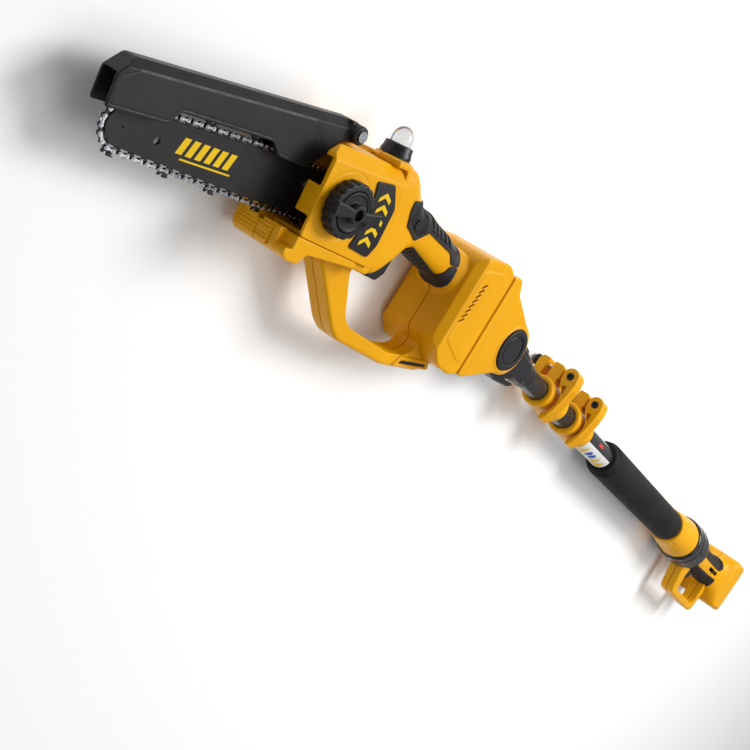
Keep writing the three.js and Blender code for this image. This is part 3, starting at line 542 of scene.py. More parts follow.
def motor_housing():
    """The far housing, with a pocket for the guard's far wall and a lug that stands inside the guard."""
    lug = rounded([(-344, 129), (-330, 129), *arc(*HINGE, 6.6, 0, 180, 16)], 0.5, 1)
    cheek = [(-385, 60), (-385, 35), (-380, 31), (-340, 34), (-340, 60)]
    housing = join(
        slab(MOTOR_OUTLINE, 6, WALL_Y, HOUSING_Y, 2.5),
        cut(
            join(
                far_half(slab(CHIN_OUTLINE, 2.5, -4, HOUSING_Y, 1.5)), slab(cheek, 2.5, 3.5, HOUSING_Y, 1.0)),
            *chin_ribs(-1, 24)),
        prism(offset(MOTOR_OUTLINE, -1.2), WALL_Y, WALL_Y + 5), box(-350, -324, WALL_Y + 0.2, 12, 110, 129.4))
    pocket = prism(offset(GUARD_OUTLINE, 1.0), GUARD_NEAR - 1, GUARD_FAR + 1)
    return join(cut(housing, pocket), prism(lug, -9, 5, "y", 0.6), box(-344, -330, WALL_Y + 0.2, 5, 118, 131))


def make_saw_shells():
    casing = saw_casing()
    near, far = halves(casing)
    near = cut(near, rod("y", *BUTTON_HOLE, -40, -10))
    far = cut(far, prism(offset(MOTOR_OUTLINE, 0.4), HOUSING_Y, HOUSING_Y + 20))
    far = cut(
        join(far, motor_housing()), slab(offset(MOTOR_OUTLINE, -3.2), 4, 6.2, 28),
        rod("y", *KNOB, 4.4, 0, 10), rod("y", *SPROCKET, 3.6, 0, 10), rod("y", *HINGE, HINGE_BORE, -10, 10))
    for side, body in (("near", near), ("far", far)):
        piece(f"saw_{side}_shell", moulded(body, 0.75, 4), SAW, YELLOW, "saw", f"saw_shell_{side}")


def slot_inserts():
    points = rounded([(-144, -45), (-140.2, -41), (-99.4, -40.5), (-97, -44)], 1)
    bodies = [prism(points, -15.0, -14.0), prism(points, 14.0, 15.0)]
    piece("loop_slots", bodies, SAW, CHARCOAL, "saw")


def sprocket_cover():
    body = slab(COVER_OUTLINE, 3, COVER_Y, WALL_Y - 0.3, 0.8)
    chamfer = prism([(COVER_Y - 1, 115.5), (COVER_Y + 12, 131), (COVER_Y - 1, 131)], -400, -260, "x")
    ring = turned([
        (COVER_Y - 1, 28.6), (COVER_Y - 1, 29.6), (COVER_Y + 0.7, 29.6), (COVER_Y + 0.7, 28.6)], "y", *KNOB)
    seam = prism([(-380, 59.2), (-349, 54.6), (-349, 53.8), (-380, 58.4)], COVER_Y - 1, COVER_Y + 0.7)
    room = slab(offset(COVER_OUTLINE, -3), 3, COVER_Y + 3, WALL_Y + 1)
    roof = prism([(-45, 103.7), (-36.7, 113.6), (-23.7, 129.1), (-23.7, 140), (-45, 140)], -400, -260, "x")
    middle = box(-380, -368, -20, WALL_Y + 1, 49, 116)
    lower = box(-380, -368, -35, -19, 49, 68)
    upper = box(-380, -368, -34, -19, 93, 117)
    notch = box(-380, -348.5, -26, WALL_Y + 1, 93, 140)
    hole = rod("y", *KNOB, 13.3, COVER_Y - 1, COVER_Y + 4)
    body = cut(body, chamfer, ring, seam, cut(room, roof), middle, lower, upper, notch, hole)
    piece("bar_cover", moulded(body, 0.6, 3), SAW, YELLOW, "saw", "sprocket_cover")


def motor_cover():
    body = slab(offset(MOTOR_OUTLINE, -1.5), 5, 27.3, 30, 1.2)
    slots = [slab([(x, 64), (x + 5, 62), (x + 5, 95), (x, 97)], 2.4, 20, 40) for x in spaced(-330, 11, 5)]
    ring = turned([(29.2, 26), (29.2, 28), (31, 28), (31, 26)], "y", *SPROCKET)
    piece("motor_lid", moulded(cut(body, ring, *slots), 0.6, 4), SAW, YELLOW, "saw", "motor_cover")
    heads = [screw("y", x, z, 29.6, 1) for x, z in [(-366, 62), (-358, 120), (-292, 118), (-286, 44)]]
    piece("motor_lid_screws", heads, SAW, BRIGHT_STEEL, "saw")


def screw(axis, u, v, face, toward, radius=2.6):
    """A screw head with a cross recess. It faces towards plus or minus one along its axis."""
    head = turned([
        (face - toward * 2, 0), (face - toward * 2, radius), (face + toward * 0.5, radius),
        (face + toward * 0.9, radius * 0.8), (face + toward * 0.9, 0)], axis, u, v, 32)
    low, high = sorted((face - toward * 0.4, face + toward * 3))
    arms = [(0.45, radius * 0.7), (radius * 0.7, 0.45)]
    for wide, tall in arms:
        cross = rectangle(u - wide, u + wide, v - tall, v + tall)
        head = cut(head, prism(cross, low, high, axis))
    return head


def front_chin():
    step = [
        (-385.5, 39.4), (-385.5, 34), (-380, 29.6), (-364.8, 28.6), (-358, 38), (-298, 37.4), (-296, 42.6),
        (-376.8, 50.7), (-377.6, 39.4)]
    deep = [
        (-385, 49), (-385, 35), (-380, 30), (-365, 29.6), (-358, 37.8), (-310, 37.4), (-310, 43.9),
        (-376.6, 50.5), (-377.5, 49)]
    lip = [(-385, 52), (-385, 44), (-377, 44), (-377, 52)]
    body = join(slab(step, 2, COVER_Y, -24, 0.8), slab(deep, 2, -25, -SPLIT), slab(lip, 1, -25, -3.6, 0.6))
    body = cut(body, *chin_ribs(-14, 1))
    piece("chin", moulded(body, 0.6, 3), SAW, YELLOW, "saw", "front_chin")
    nubs = [rod("x", -17, z, 1.2, -386.6, -384, 0.5, 16) for z in spaced(34, 2.9, 7)]
    piece("chin_nubs", nubs, SAW, YELLOW, "saw")


def badge():
    plate = [
        (-317, 54), (-290, 50), (-284, 62), (-283, 96), (-296, 115), (-318, 113), (-314, 100), (-313, 70)]
    body = slab(plate, 3, -39.6, -38.3, 0.4)
    piece("badge", body, SAW, CHARCOAL, "saw", "badge_plate")
    marks = []
    for i, z in enumerate(spaced(61, 9.8, 5)):
        x = -301 + (3.0 if i in (1, 2, 3) else 0.6)
        marks.append(
            prism([
                (x - 8, z - 3), (x - 1, z + 2), (x + 7, z - 2.6), (x + 7, z + 1.4), (x - 1, z + 6.4),
                (x - 8, z + 1)], -39.8, -39.5))
    piece("badge_chevrons", marks, SAW, PRINT_YELLOW, "saw", slot="yellow_plastic")


# --- Grips


def skin(stations, low, high, *regions):
    """The layers of a casing between two heights above it, inside outlines seen from the side."""
    layer = cut(loft(stations, high), loft(stations, low))
    return common(layer, *[prism(region, -40, 40) for region in regions])


def stripes(starts, width, lean, low, high):
    """Slanted stripes seen from the side, as one body."""
    return gathered([
        prism([(x, low), (x + width, low), (x + width + lean, high), (x + lean, high)], -40, 40)
        for x in starts])


def make_saw_grip():
    upper = rounded([
        (-249, 108), (-249, 98), (-243, 84), (-215, 73), (-196, 84), (-150, 72), (-143, 62.5), (-140, 62),
        (-133, 62), (-133, 90), (-160, 112)], 2)
    lower = rounded([
        (-221, 56), (-207, 67.5), (-149, 47.5), (-145, 52), (-142, 61), (-133, 61.9), (-133, 30), (-160, 20),
        (-203, 30), (-203, 52)], 2)
    top = skin(SAW_STATIONS, 0.2, 1.5, upper)
    fine = stripes(spaced(-245, 3.1, 14), 1.4, 8, 72, 125)
    field = rounded([(-247, 120), (-247, 98), (-241, 86), (-216, 77), (-203, 82), (-200, 120)], 2)
    fine = common(skin(SAW_STATIONS, 0.4, 3, field), fine)
    ridges = skin(
        SAW_STATIONS, 1.0, 3.0, rounded([(-197, 88), (-152, 77), (-143, 70), (-143, 110), (-197, 120)], 2))
    ridges = common(ridges, stripes([-196, -186.5, -177, -167.5, -158], 5.2, 7, 74, 112))
    hole = rod("y", *BUTTON_HOLE, -60, -10)
    piece(
        "saw_grip_top", moulded(join(cut(top, fine, hole), ridges), 0.5, 2), SAW, RUBBER, "saw",
        "saw_pad_top")
    bottom = skin(SAW_STATIONS, 0.2, 1.5, lower)
    bottom = cut(bottom, box(-250, -203, -7, 7, 0, 80))
    folds = skin(
        SAW_STATIONS, 1.0, 2.4, rounded([(-202, 62), (-158, 49), (-152, 45), (-152, 20), (-202, 30)], 2))
    folds = common(folds, stripes([-206, -197, -188, -179, -170, -161], 4.6, 6, 24, 66))
    piece("saw_grip_bottom", moulded(join(bottom, folds), 0.5, 2), SAW, RUBBER, "saw", "saw_pad_bottom")


# --- Knob, bulb and trigger


def make_knob():
    radius, dent, dents = 24, 1.5, 18
    scallops = []
    for i in range(144):
        angle = radians(2.5 * i)
        r = radius - dent * (0.5 - 0.5 * cos(dents * angle)) ** 3
        scallops.append((KNOB[0] + r * cos(angle), KNOB[1] + r * sin(angle)))
    ring = prism(scallops, KNOB_FACE, COVER_Y - 0.3, "y", 1.6, 4)
    ring = cut(ring, rod("y", *KNOB, 18.2, -60, -20, 0, ROUND))
    piece("tension_wheel", ring, SAW, CHARCOAL, "tension_ring", "tension_ring", smooth=50)
    dial = turned([
        (-30, 4.3), (-30, 12.5), (-40, 12.5), (-40, 17.5), (KNOB_FACE, 17.5), (-51.2, 16.6), (-51.2, 15.4),
        (-50.2, 14.4), (-50.2, 4.3)], "y", *KNOB)
    x, z = KNOB
    half = [(-28.5, 5.8), (-26, 6.2), (-15, 4.8), (-9, 4.0), (9, 4.0), (15, 4.8), (26, 6.2), (28.5, 5.8)]
    wing = [(x + u, z - v) for u, v in half] + [(x + u, z + v) for u, v in reversed(half)]
    wing = prism(rounded(wing, 2.4), -57, -50.6, "y", 1.6, 4)
    hub = rod("y", x, z, 8.4, -57.2, KNOB_FACE, 1.2)
    socket = prism(circle(x, z, 5.2, 6), -60, -51.5)
    dial = cut(join(dial, wing, hub), socket)
    piece("locking_dial", moulded(dial, 0.45, 3), SAW, CHARCOAL, "lock_knob", "lock_knob")
    piece(
        "dial_socket", rod("y", x, z, 3.4, -52.4, -50.8, 0.4), SAW, CHAIN_DARK, "lock_knob",
        slot="bright_steel")


def make_bulb():
    foot, shoulder, radius, rise = 138, 11, 9.8, 12
    dome = [(foot, radius), (foot + shoulder, radius)]
    for degrees in range(10, 90, 10):
        a = radians(degrees)
        dome.append((foot + (shoulder + rise * sin(a)), radius * cos(a)))
    bulb = turned([(foot, 0), *dome, (foot + shoulder + rise, 0)], "z", BULB_X, facets=64)
    piece("primer_bulb", bulb, SAW, BULB, "oil_bulb", "oil_bulb", smooth=60)
    ring = turned([
        (134.3, 10.4), (134.3, 14.5), (137, 14.5), (138.2, 14), (140, 13.4), (144.2, 13), (145, 12.4),
        (145, 10.4)], "z", BULB_X, facets=64)
    piece("primer_ring", ring, SAW, CHAIN_DARK, "saw", "bulb_ring", slot="black_plastic")


def make_trigger():
    outline = rounded([
        (-243, 60), (-243, 36), (-239, 27), (-230, 26.4), (-220, 25), (-212, 33), (-208, 60)], 2.6)
    body = prism(outline, -6, 6, "y", 1.6, 4)
    piece("saw_trigger_blade", body, SAW, CHARCOAL, "saw_trigger", "saw_trigger", smooth=50)


# --- Bar, chain and guard

NOSE = (-545, 81, 18)
RUN_LOW, RUN_HIGH = 57, 103.5
PITCH = 6.35
LINK_RADIUS, LINK_WAIST = 2.0, 0.8
SPROCKET_SIDE_X = -320


def chain_route():
    """Evenly spaced points along the chain's centre line."""
    corners = [
        *arc(*NOSE, 90, 270, 60), (-400, RUN_LOW), (-336, RUN_LOW), *arc(*SPROCKET, 12, -90, 90, 40),
        (-336, 101), (-400, RUN_HIGH)]
    corners.append(corners[0])
    lengths = [dist(a, b) for a, b in zip(corners, corners[1:])]
    total = sum(lengths)
    count = 2 * round(total / PITCH / 2)
    route, walked, i = [], 0.0, 0
    for k in range(count):
        want = total * k / count
        while walked + lengths[i] < want:
            walked += lengths[i]
            i += 1
        t = (want - walked) / lengths[i]
        a, b = Vector(corners[i]), Vector(corners[i + 1])
        route.append(a.lerp(b, t))
    return route


def link(a, b, y0, y1):
    """A figure-of-eight side plate between two rivets."""
    along = (b - a).normalized()
    side = Vector((-along.y, along.x))
    line = []
    for centre, sign in ((b, 1), (a, -1)):
        for degrees in (-70, -35, 0, 35, 70):
            c, s = cos(radians(degrees)), sin(radians(degrees))
            line.append(tuple(centre + along * (LINK_RADIUS * c * sign) + side * (LINK_RADIUS * s * sign)))
        line.append(tuple((a + b) / 2 + side * (LINK_WAIST * sign)))
    return prism(line, y0, y1, "y", 0.2, 1)


def cutter(a, b, y0, y1):
    """The raised tooth of a cutter link and its top plate."""
    along = (b - a).normalized()
    outward = Vector((along.y, -along.x))
    tooth = [
        (a, 1.5, -1.2), (a, 4.2, -1.0), (a, 4.4, 0.8), (a, 2.6, 2.2), (b, 2.6, -2.6), (b, 4.9, -1.4),
        (b, 4.2, 2.6), (b, 1.2, 2.0)]
    roof = [(b, 4.0, -1.4), (b, 4.9, -1.4), (b, 4.3, 2.6), (b, 3.4, 2.6)]
    tooth, roof = [[tuple(p + outward * up + along * on) for p, up, on in shape] for shape in (tooth, roof)]
    reach = (y0 - 0.4, 0.4) if y0 < 0 else (-0.4, y1 + 0.4)
    return [prism(tooth, y0, y1, "y", 0.2, 1), prism(roof, *reach)]


def make_chain():
    """Side plates, toothed drive links, rivets, and a cutter on every fourth pair of plates, by turns."""
    route = chain_route()
    bright, dark, rivets = [], [], []
    for i, a in enumerate(route):
        b = route[(i + 1) % len(route)]
        along = (b - a).normalized()
        inward = Vector((-along.y, along.x))
        if i % 2:
            depth = 2.4 if a.x > SPROCKET_SIDE_X else 6.2
            point = (a + b) / 2 + inward * depth + along * 0.6
            tooth = [tuple(a + inward * 2), tuple(b + inward * 2), tuple(point)]
            dark += [prism(tooth, -0.55, 0.55), link(a, b, -0.6, 0.6)]
        else:
            for y0, y1, sharp in ((-2.2, -0.9, i % 16 == 0), (0.9, 2.2, i % 16 != 0)):
                bright.append(link(a, b, y0, y1))
                if i % 8 == 0 and sharp:
                    dark += cutter(a, b, y0, y1)
        rivets.append(rod("y", a.x, a.y, 1.2, -2.7, 2.7, 0.4, 12))
    piece("chain_plates", bright, SAW, CHAIN_STEEL, "saw", "saw_chain")
    piece("chain_cutters", dark, SAW, CHAIN_DARK, "saw", slot="chain_steel")
    piece("chain_rivets", rivets, SAW, BRIGHT_STEEL, "saw", slot="chain_steel")


def make_bar():
    edge = 3.3
    outline = [
        *arc(NOSE[0], NOSE[1], NOSE[2] - edge, 90, 270, 40), (-400, RUN_LOW + edge), (-336, RUN_LOW + edge),
        (-322, 72), (-322, 88), (-336, 101 - edge), (-400, RUN_HIGH - edge)]
    bar = prism(outline, -1.6, 1.6, "y", 0.3, 1)
    bar = cut(
        bar, rod("y", -513, 79.3, 3, -5, 5), box(-358, -331, -5, 5, 79.7, 88.3),
        rod("y", NOSE[0], NOSE[1], 0.9, -5, 5, 0, 16))
    piece("bar", bar, SAW, BAR_STEEL, "saw", "guide_bar")
    rivets = [rod("y", u, v, 1.1, -1.8, 1.8, 0.2, 24) for u, v in circle(NOSE[0] + 3, NOSE[1], 5.2, 4)]
    piece("nose_rivets", rivets, SAW, BAR_STEEL, "saw")
    marks = [
        prism([(x, 75.5), (x + 6.2, 75.5), (x + 10.2, 88.5), (x + 4.0, 88.5)], -1.72, -1.55)
        for x in spaced(-494, 9.6, 6)]
    marks.append(prism([(-488, 71.6), (-436, 71.6), (-435.6, 73.0), (-487.6, 73.0)], -1.72, -1.55))
    piece("bar_stripes", marks, SAW, PRINT_YELLOW, "saw", slot="bar_steel")


def make_guard():
    body = slab(GUARD_OUTLINE, 2.5, GUARD_NEAR, GUARD_FAR, 1.0)
    room = prism([
        (-600, 60), (-600, 109), (-578, 112), (-564, 122.5), (-356, 140), *arc(*HINGE, 7.5, 150, 0, 20),
        (-320, 132), (-320, 60)], -9.5, 5.5)
    bevel = prism([(-13, 136.5), (-13, 152), (-4, 152), (-4, 146.5)], -600, -345, "x")
    slope = Matrix.Rotation(radians(-5), 4, "Y")
    bevel.data.transform(Matrix.Translation((-380, 0, 144.5)) @ slope @ Matrix.Translation((380, 0, -144.5)))
    edge = [
        (-573, 113.6), (-572, 93.4), (-520, 96.2), (-512.6, 107.2), (-417.4, 111.4), (-406, 102.2),
        (-375, 101.4), (-362, 114), (-384, 137.6), (-558, 122.4)]
    groove = cut(slab(edge, 2, -13, GUARD_NEAR + 0.6), slab(offset(edge, -1.1), 2, -14, -10))
    crease = prism([(-363, 115), (-361.8, 115), (-382.8, 139), (-384, 139)], -13, GUARD_NEAR + 0.6)
    boss = rod("y", *HINGE, 8, -19, -11, 1.0)
    body = cut(join(body, boss), room, bevel, groove, crease, rod("y", *HINGE, HINGE_BORE, -20, 20))
    piece("guard", moulded(body, 0.6, 2), SAW, GUARD_GREY, "guard", "tip_guard", slot="black_plastic")


# --- Adapter and knuckle


def pressed_disc(face, back):
    toward = copysign(1, back - face)
    return turned([
        (back, 0), (back, 23.3), (face + toward * 2, 23.3), (face + toward * 0.6, 22.8), (face, 21.6),
        (face, 18), (face + toward * 0.5, 16.8), (face + toward * 1.7, 16.2), (face + toward * 1.7, 15.4),
        (face + toward * 0.9, 14.4), (face + toward * 0.9, 0)], "y")


def make_adapter():
    outline = [(FACE_X, -48), (-58, -49.5), *arc(0, 0, 30, -99, 78, 40), (-41, 52), (-51, 66.5), (FACE_X, 64)]
    body = prism(rounded(outline, 4, 3), -DOCK_HALF, DOCK_HALF, "y", 3)
    tongue = [box(FACE_X - 6.3, FACE_X + 2, -27, 27, -44, 38), box(FACE_X - 16, FACE_X - 6, -31, 31, -44, 38)]
    room = [(FACE_X + 3, -44), (-58, -45), (-35, -36), (-35, 45), (-43, 50), (-53, 62), (FACE_X + 3, 60)]
    lip = turned([(-38.9, 24), (-38.9, 26.2), (-36, 26.8), (-36, 24)], "y")
    lines = [
        prism([(FACE_X + 11, -46), (FACE_X + 12.2, -46), (FACE_X + 15.2, 53), (FACE_X + 14, 53)], -38.7, -37),
        box(FACE_X + 1, FACE_X + 4, -38.8, -37, -47, 63, 0.6)]
    casing = cut(
        join(body, *tongue, lip, *lines), box(-31, 60, -17.8, 17.8, -80, 80), prism(room, -35, 35),
        rod("y", 0, 0, 23.6, -45, -25.5, 0, ROUND), rod("y", 0, 0, 23.6, 29.5, 45, 0, ROUND),
        rod("y", 0, 0, 6.3, -30, 30), box(-64, -46, -11, 11, -60, -40),
        box(FACE_X - 17, FACE_X - 4, -9, 9, 4, 39))
    near, far = halves(casing)
    for side, body in (("near", near), ("far", far)):
        piece(f"adapter_{side}", moulded(body, 0.65, 3), ADAPTER, YELLOW, "adapter", f"adapter_shell_{side}")
    piece("tilt_disc", pressed_disc(-41, -30.5), ADAPTER, CHARCOAL, "tilt_button", "tilt_button")
    piece("pivot_disc", pressed_disc(38, 29.8), ADAPTER, CHARCOAL, "adapter", "pivot_cap")


def make_knuckle():
    neck = loft([
        (8, 0, 17, 27.5, 8), (45, -1, 17, 25.5, 8), (82, 0, 17.4, 18.5, 5), (100, 0, 16.6, 16.6, 3),
        (114, 0, 15.2, 15.2, 2), (124, 0, 14.8, 14.8, 2)])
    flat = slab([(34, -15), (98, -14.5), (98, 4.5), (94, 10), (34, 15)], 1.5, -18.2, -14, 0.6)
    wedge = slab([(26, -27.5), (88, -20), (94, -20.5), (80, -27), (52, -31)], 1.5, -13, 10, 1.0)
    rib = slab([(30, -27), (86, -19.6), (78, -26), (52, -29.6)], 1, -14.6, -12.6)
    crest = slab([(18, 27), (66, 21), (94, 18), (94, 22), (60, 28), (40, 29.6)], 1.5, -6, 6, 1.2)
    whole = cut(
        join(neck, flat, wedge, rib, crest, rod("y", 0, 0, 28, -17, 17, 0.8, ROUND)),
        rod("x", 0, 0, 13.8, 75, 132), rod("x", 0, 0, 9, 14, 80), rod("y", 0, 0, 6.9, -30, 30))
    near, far = halves(whole)
    for side, body in (("near", near), ("far", far)):
        piece(f"knuckle_{side}_half", moulded(body, 0.6, 2), POLE, CHARCOAL, "top_pole", f"knuckle_{side}")


# --- Pole

TUBE_WALL = 1.2
TUBE_R = {"inner": 13.5, "middle": 15.0, "outer": 16.5}
KEY_DEPTH, KEY_ANGLE, KEY_HALF = 1.2, 135, 6
LEVER_Y, LEVER_Z = -21, 34


def keyed_circle(radius):
    """A round section with one shallow lengthwise groove."""
    points = []
    for k in range(120):
        degrees = 3 * k
        dip = KEY_DEPTH * max(0.0, 1 - abs(degrees - KEY_ANGLE) / KEY_HALF) ** 0.6
        points.append((cos(radians(degrees)) * (radius - dip), sin(radians(degrees)) * (radius - dip)))
    return points


def make_tubes():
    runs = [
        ("inner", "top_pole", 76, 740), ("middle", "mid_pole", 184.3, 823), ("outer", "root", 283.3, 1000)]
    for name, rides_on, front, rear in runs:
        radius = TUBE_R[name]
        body = cut(
            prism(keyed_circle(radius), front, rear, "x", 0.3, 1),
            prism(keyed_circle(radius - TUBE_WALL), front - 5, rear + 5, "x"))
        piece(f"{name}_pole", body, POLE, ENAMEL, rides_on, f"{name}_tube", smooth=25)


def wrapped_patch(x0, x1, low, high, radius, thick, steps=16):
    """A thin rectangle wrapped round the tube, between two angles in degrees from its near side."""
    strips = []
    for k in range(steps):
        a, b = low + (high - low) * k / steps, low + (high - low) * (k + 1) / steps
        corners = [(x, radians(180 + degrees)) for x, degrees in ((x0, a), (x1, a), (x1, b), (x0, b))]
        strips.append(
            stacked([
                [(x, r * cos(turn), r * -sin(turn)) for x, turn in corners]
                for r in (radius, radius + thick)]))
    return gathered(strips)


def make_label():
    """A white sticker with plain generic marks, and a small red stop mark."""
    radius = TUBE_R["outer"] + 0.05
    piece(
        "label", wrapped_patch(323, 430, -90, -6, radius, 0.15), POLE, PRINT_WHITE, "root",
        slot="tube_enamel")
    triangles = [[(x, -8), (x + 17, -8), (x + 8.5, 8)] for x in (327, 346, 392, 410)]
    discs = [circle(x, 0, 5.4, 36) for x in (371, 384)]
    for name, marks, ink in (("triangles", triangles, PRINT_YELLOW), ("discs", discs, PRINT_BLUE)):
        print_layer = cut(
            rod("x", 0, 0, radius + 0.3, 320, 432, 0, 180), rod("x", 0, 0, radius + 0.1, 319, 433, 0, 180))
        marks = gathered([prism(mark, -30, 0) for mark in marks])
        placed(marks, Matrix.Rotation(radians(48), 4, "X"))
        piece(f"label_{name}", common(print_layer, marks), POLE, ink, "root", slot="tube_enamel")
    piece(
        "stop_mark", wrapped_patch(372, 388, 12, 26, radius, 0.12, 4), POLE, PRINT_RED, "root",
        slot="tube_enamel")


def make_sleeves():
    bore = TUBE_R["outer"] + 0.4
    foam = turned([
        (434, bore), (434, 20), (434.8, 21.6), (436.6, 22.6), (445, 23), (446, 24.4), (448, 25.2),
        (451, 25.5), (792, 25.5), (795, 25.2), (797.6, 24.2), (799.2, 22.6), (800, 20.5), (800, bore)], "x")
    foam = piece("foam_sleeve", foam, POLE, FOAM, "root", "foam_grip", smooth=60)
    coupling = turned([
        (800.3, bore), (800.3, 26.5), (801.2, 27.4), (803, 28), (838, 30.9), (838.6, 30.3), (839.6, 30.3),
        (840.2, 31.2), (842, 31.8), (874, 33.9), (877, 34.2), (879, 33.8), (879.7, 33), (879.7, bore)], "x")
    tabs = [box(806, 822, -33, -20, z, z + 5, 1.5) for z in (17, -22)]
    coupling = cut(coupling, *tabs)
    piece("coupling", moulded(coupling, 0.7, 4), POLE, YELLOW, "root", "coupling_sleeve")
    collar = turned([
        (880, bore), (880, 34.6), (880.8, 35.8), (883, 37.3), (886, 37.8), (899, 38), (901, 37.4),
        (902, 37.4), (903.6, 38.4), (905, 38.5), (936, 38.5), (941, 38), (947, 36.8), (949, 35.8),
        (949.7, 35), (949.7, bore)], "x")
    notch = slab([(908, -3), (914, -3), (920, 1), (908, 1)], 1, -45, -36.6)
    rim, grips = 38.6, []
    for turn in map(radians, range(0, 360, 12)):
        groove = [(v, u) for u, v in circle(rim * sin(turn), rim * cos(turn), 1.1, 16)]
        grips.append(prism(rounded(groove, 0.1, 1), 908, 934, "x"))
    collar = cut(collar, notch, *grips)
    piece(
        "collar", moulded(collar, 0.6, 3), POLE, COLLAR_BLACK, "lock_collar", "lock_collar",
        slot="black_plastic")


# --- Clamps

CLAMP_NOSE, CLAMP_LENGTH, LEVER_WIDTH = 10, 50, 20
BOLT_X, BOLT_Z = 13, LEVER_Z - 0.5
NUT_RADIUS, FLUTE_DEPTH, FLUTES = 6.8, 0.5, 15


def clamp_ring(x, thin, thick):
    front, rear, outer = x - CLAMP_NOSE, x + CLAMP_LENGTH, thick + 4.9
    body = turned([
        (front, thin + 0.3), (front, outer - 3.4), (front + 0.8, outer - 1.6), (front + 2.4, outer - 0.4),
        (front + 4.6, outer), (rear - 1.4, outer), (rear - 0.4, outer - 0.4), (rear, outer - 1.4),
        (rear, thick + 0.3), (x + 4, thick + 0.3), (x + 4, thin + 0.3)], "x")
    ears = rounded([(-9, 12), (28, 12), (28, 36), (25, 42), (-5, 42), (-9, 38)], 2)
    plate = cut(prism(ears, x + 2, x + 25, "x", 1.2), rod("x", 0, 0, thick + 0.3, x - 1, x + 61))
    gusset = slab(rectangle(7.5, 14.5, 38, 46), 1, x, x + 26, axis="x")
    pocket = slab(rectangle(x + 5, x + 21, 22, 27), 1.5, 24, 32)
    seat = cut(box(x - 1, x + 27, -40, -6, -40, 24), rod("x", 0, 0, 24, x - 2, x + 28, 0, ROUND))
    return cut(
        join(body, plate), gusset, seat, pocket, box(front - 1, rear + 1, 6.5, 15.5, 19.5, 50),
        box(front - 1, rear + 1, 9, 13, 5, 20), rod("y", x + BOLT_X, BOLT_Z, 2.9, -20, 40))


def clamp_lever(x):
    outer = [(-32.4, 30), (-32, 17.6), (-30, 2.6), (-27.4, -10), (-24.4, -19), (-20.5, -25.5)]
    side = [
        *arc(LEVER_Y, LEVER_Z, 11, 20, 150, 24), *outer, (-16.5, -27), *arc(0, 0, 24.9, 233, 128, 40),
        (-12, 26)]
    body = prism(side, x, x + LEVER_WIDTH, "x", 1.8, 4)
    recess = rounded([(-24.5, 21.5), (-18.6, 20.8), (-25.4, 9.5)], 0.8)
    back = [(y - 6, z) for y, z in outer]
    strip = [(y + 0.9, z) for y, z in outer]
    grooves = [prism(strip + back[::-1], x + low, x + low + 1.2, "x") for low in (4.6, 8.2, 11.8, 15.4)]
    grooves = [common(groove, box(x - 5, x + 30, -50, 0, -21, 23)) for groove in grooves]
    return cut(
        body, prism(recess, x - 1, x + 5, "x"), prism(recess, x + 15, x + 30, "x"), *grooves,
        rod("x", LEVER_Y, LEVER_Z, 4.7, x - 1, x + 27),
        box(x + 9.5, x + 16.5, LEVER_Y - 6, LEVER_Y + 16, LEVER_Z - 3.4, LEVER_Z + 14))


def make_clamp(number, x, thin, thick, rides_on):
    ring = moulded(clamp_ring(x, thin, thick), 0.5, 3)
    piece(f"clamp_{number}_body", ring, POLE, YELLOW, rides_on, f"clamp_{number}_ring")
    lever = moulded(clamp_lever(x), 0.45, 2)
    piece(f"clamp_{number}_handle", lever, POLE, YELLOW, f"lever_{number}", f"clamp_{number}_lever")
    pin = cut(
        rod("x", LEVER_Y, LEVER_Z, 4.4, x - 1, x + LEVER_WIDTH + 1, 0.5),
        prism(circle(LEVER_Y, LEVER_Z, 2.2, 6), x - 2, x + 1.5, "x"))
    piece(f"clamp_{number}_axle", pin, POLE, CHARCOAL, rides_on, f"clamp_{number}_pin", slot="bright_steel")
    flutes = []
    for k in range(120):
        a = radians(3 * k)
        r = NUT_RADIUS + FLUTE_DEPTH * cos(FLUTES * a)
        flutes.append((x + BOLT_X + r * cos(a), BOLT_Z + r * sin(a)))
    nut = cut(prism(flutes, 28.3, 36, "y", 0.8), rod("y", x + BOLT_X, BOLT_Z, 2.8, 20, 40))
    piece(f"clamp_{number}_knurl", nut, POLE, CHARCOAL, rides_on, f"clamp_{number}_nut")
    threads = [
        turned([(y, 2.4), (y + 0.5, 2.9), (y + 1.0, 2.4)], "y", x + BOLT_X, BOLT_Z, 24)
        for y in spaced(7, 1.1, 8)]
    piece(f"clamp_{number}_thread", threads, POLE, BRIGHT_STEEL, rides_on)


# --- Rear handle

HANDLE_STATIONS = [
    (950, 0, 34, 34, 2), (957, 0, 33.5, 33.5, 2), (967, 0, 27, 29, 2.2), (1000, -1, 22.5, 25.5, 2.4),
    (1016, -2, 21, 24, 2.4), (1060, -3, 20, 23.5, 2.4), (1105, -3, 20.5, 24, 2.4), (1124, -4, 28, 34, 3),
    (1140, -6, 38.2, 47.2, 7), (1180, -6, 38.2, 47.2, 7)]
FLOOR_X = 1150
TRIGGER_X = 1021
LOOP_SCREWS = [(1042, -76), (1090, -77), (974, -58)]
BLADE_YS = (-14, -5, 5, 14)


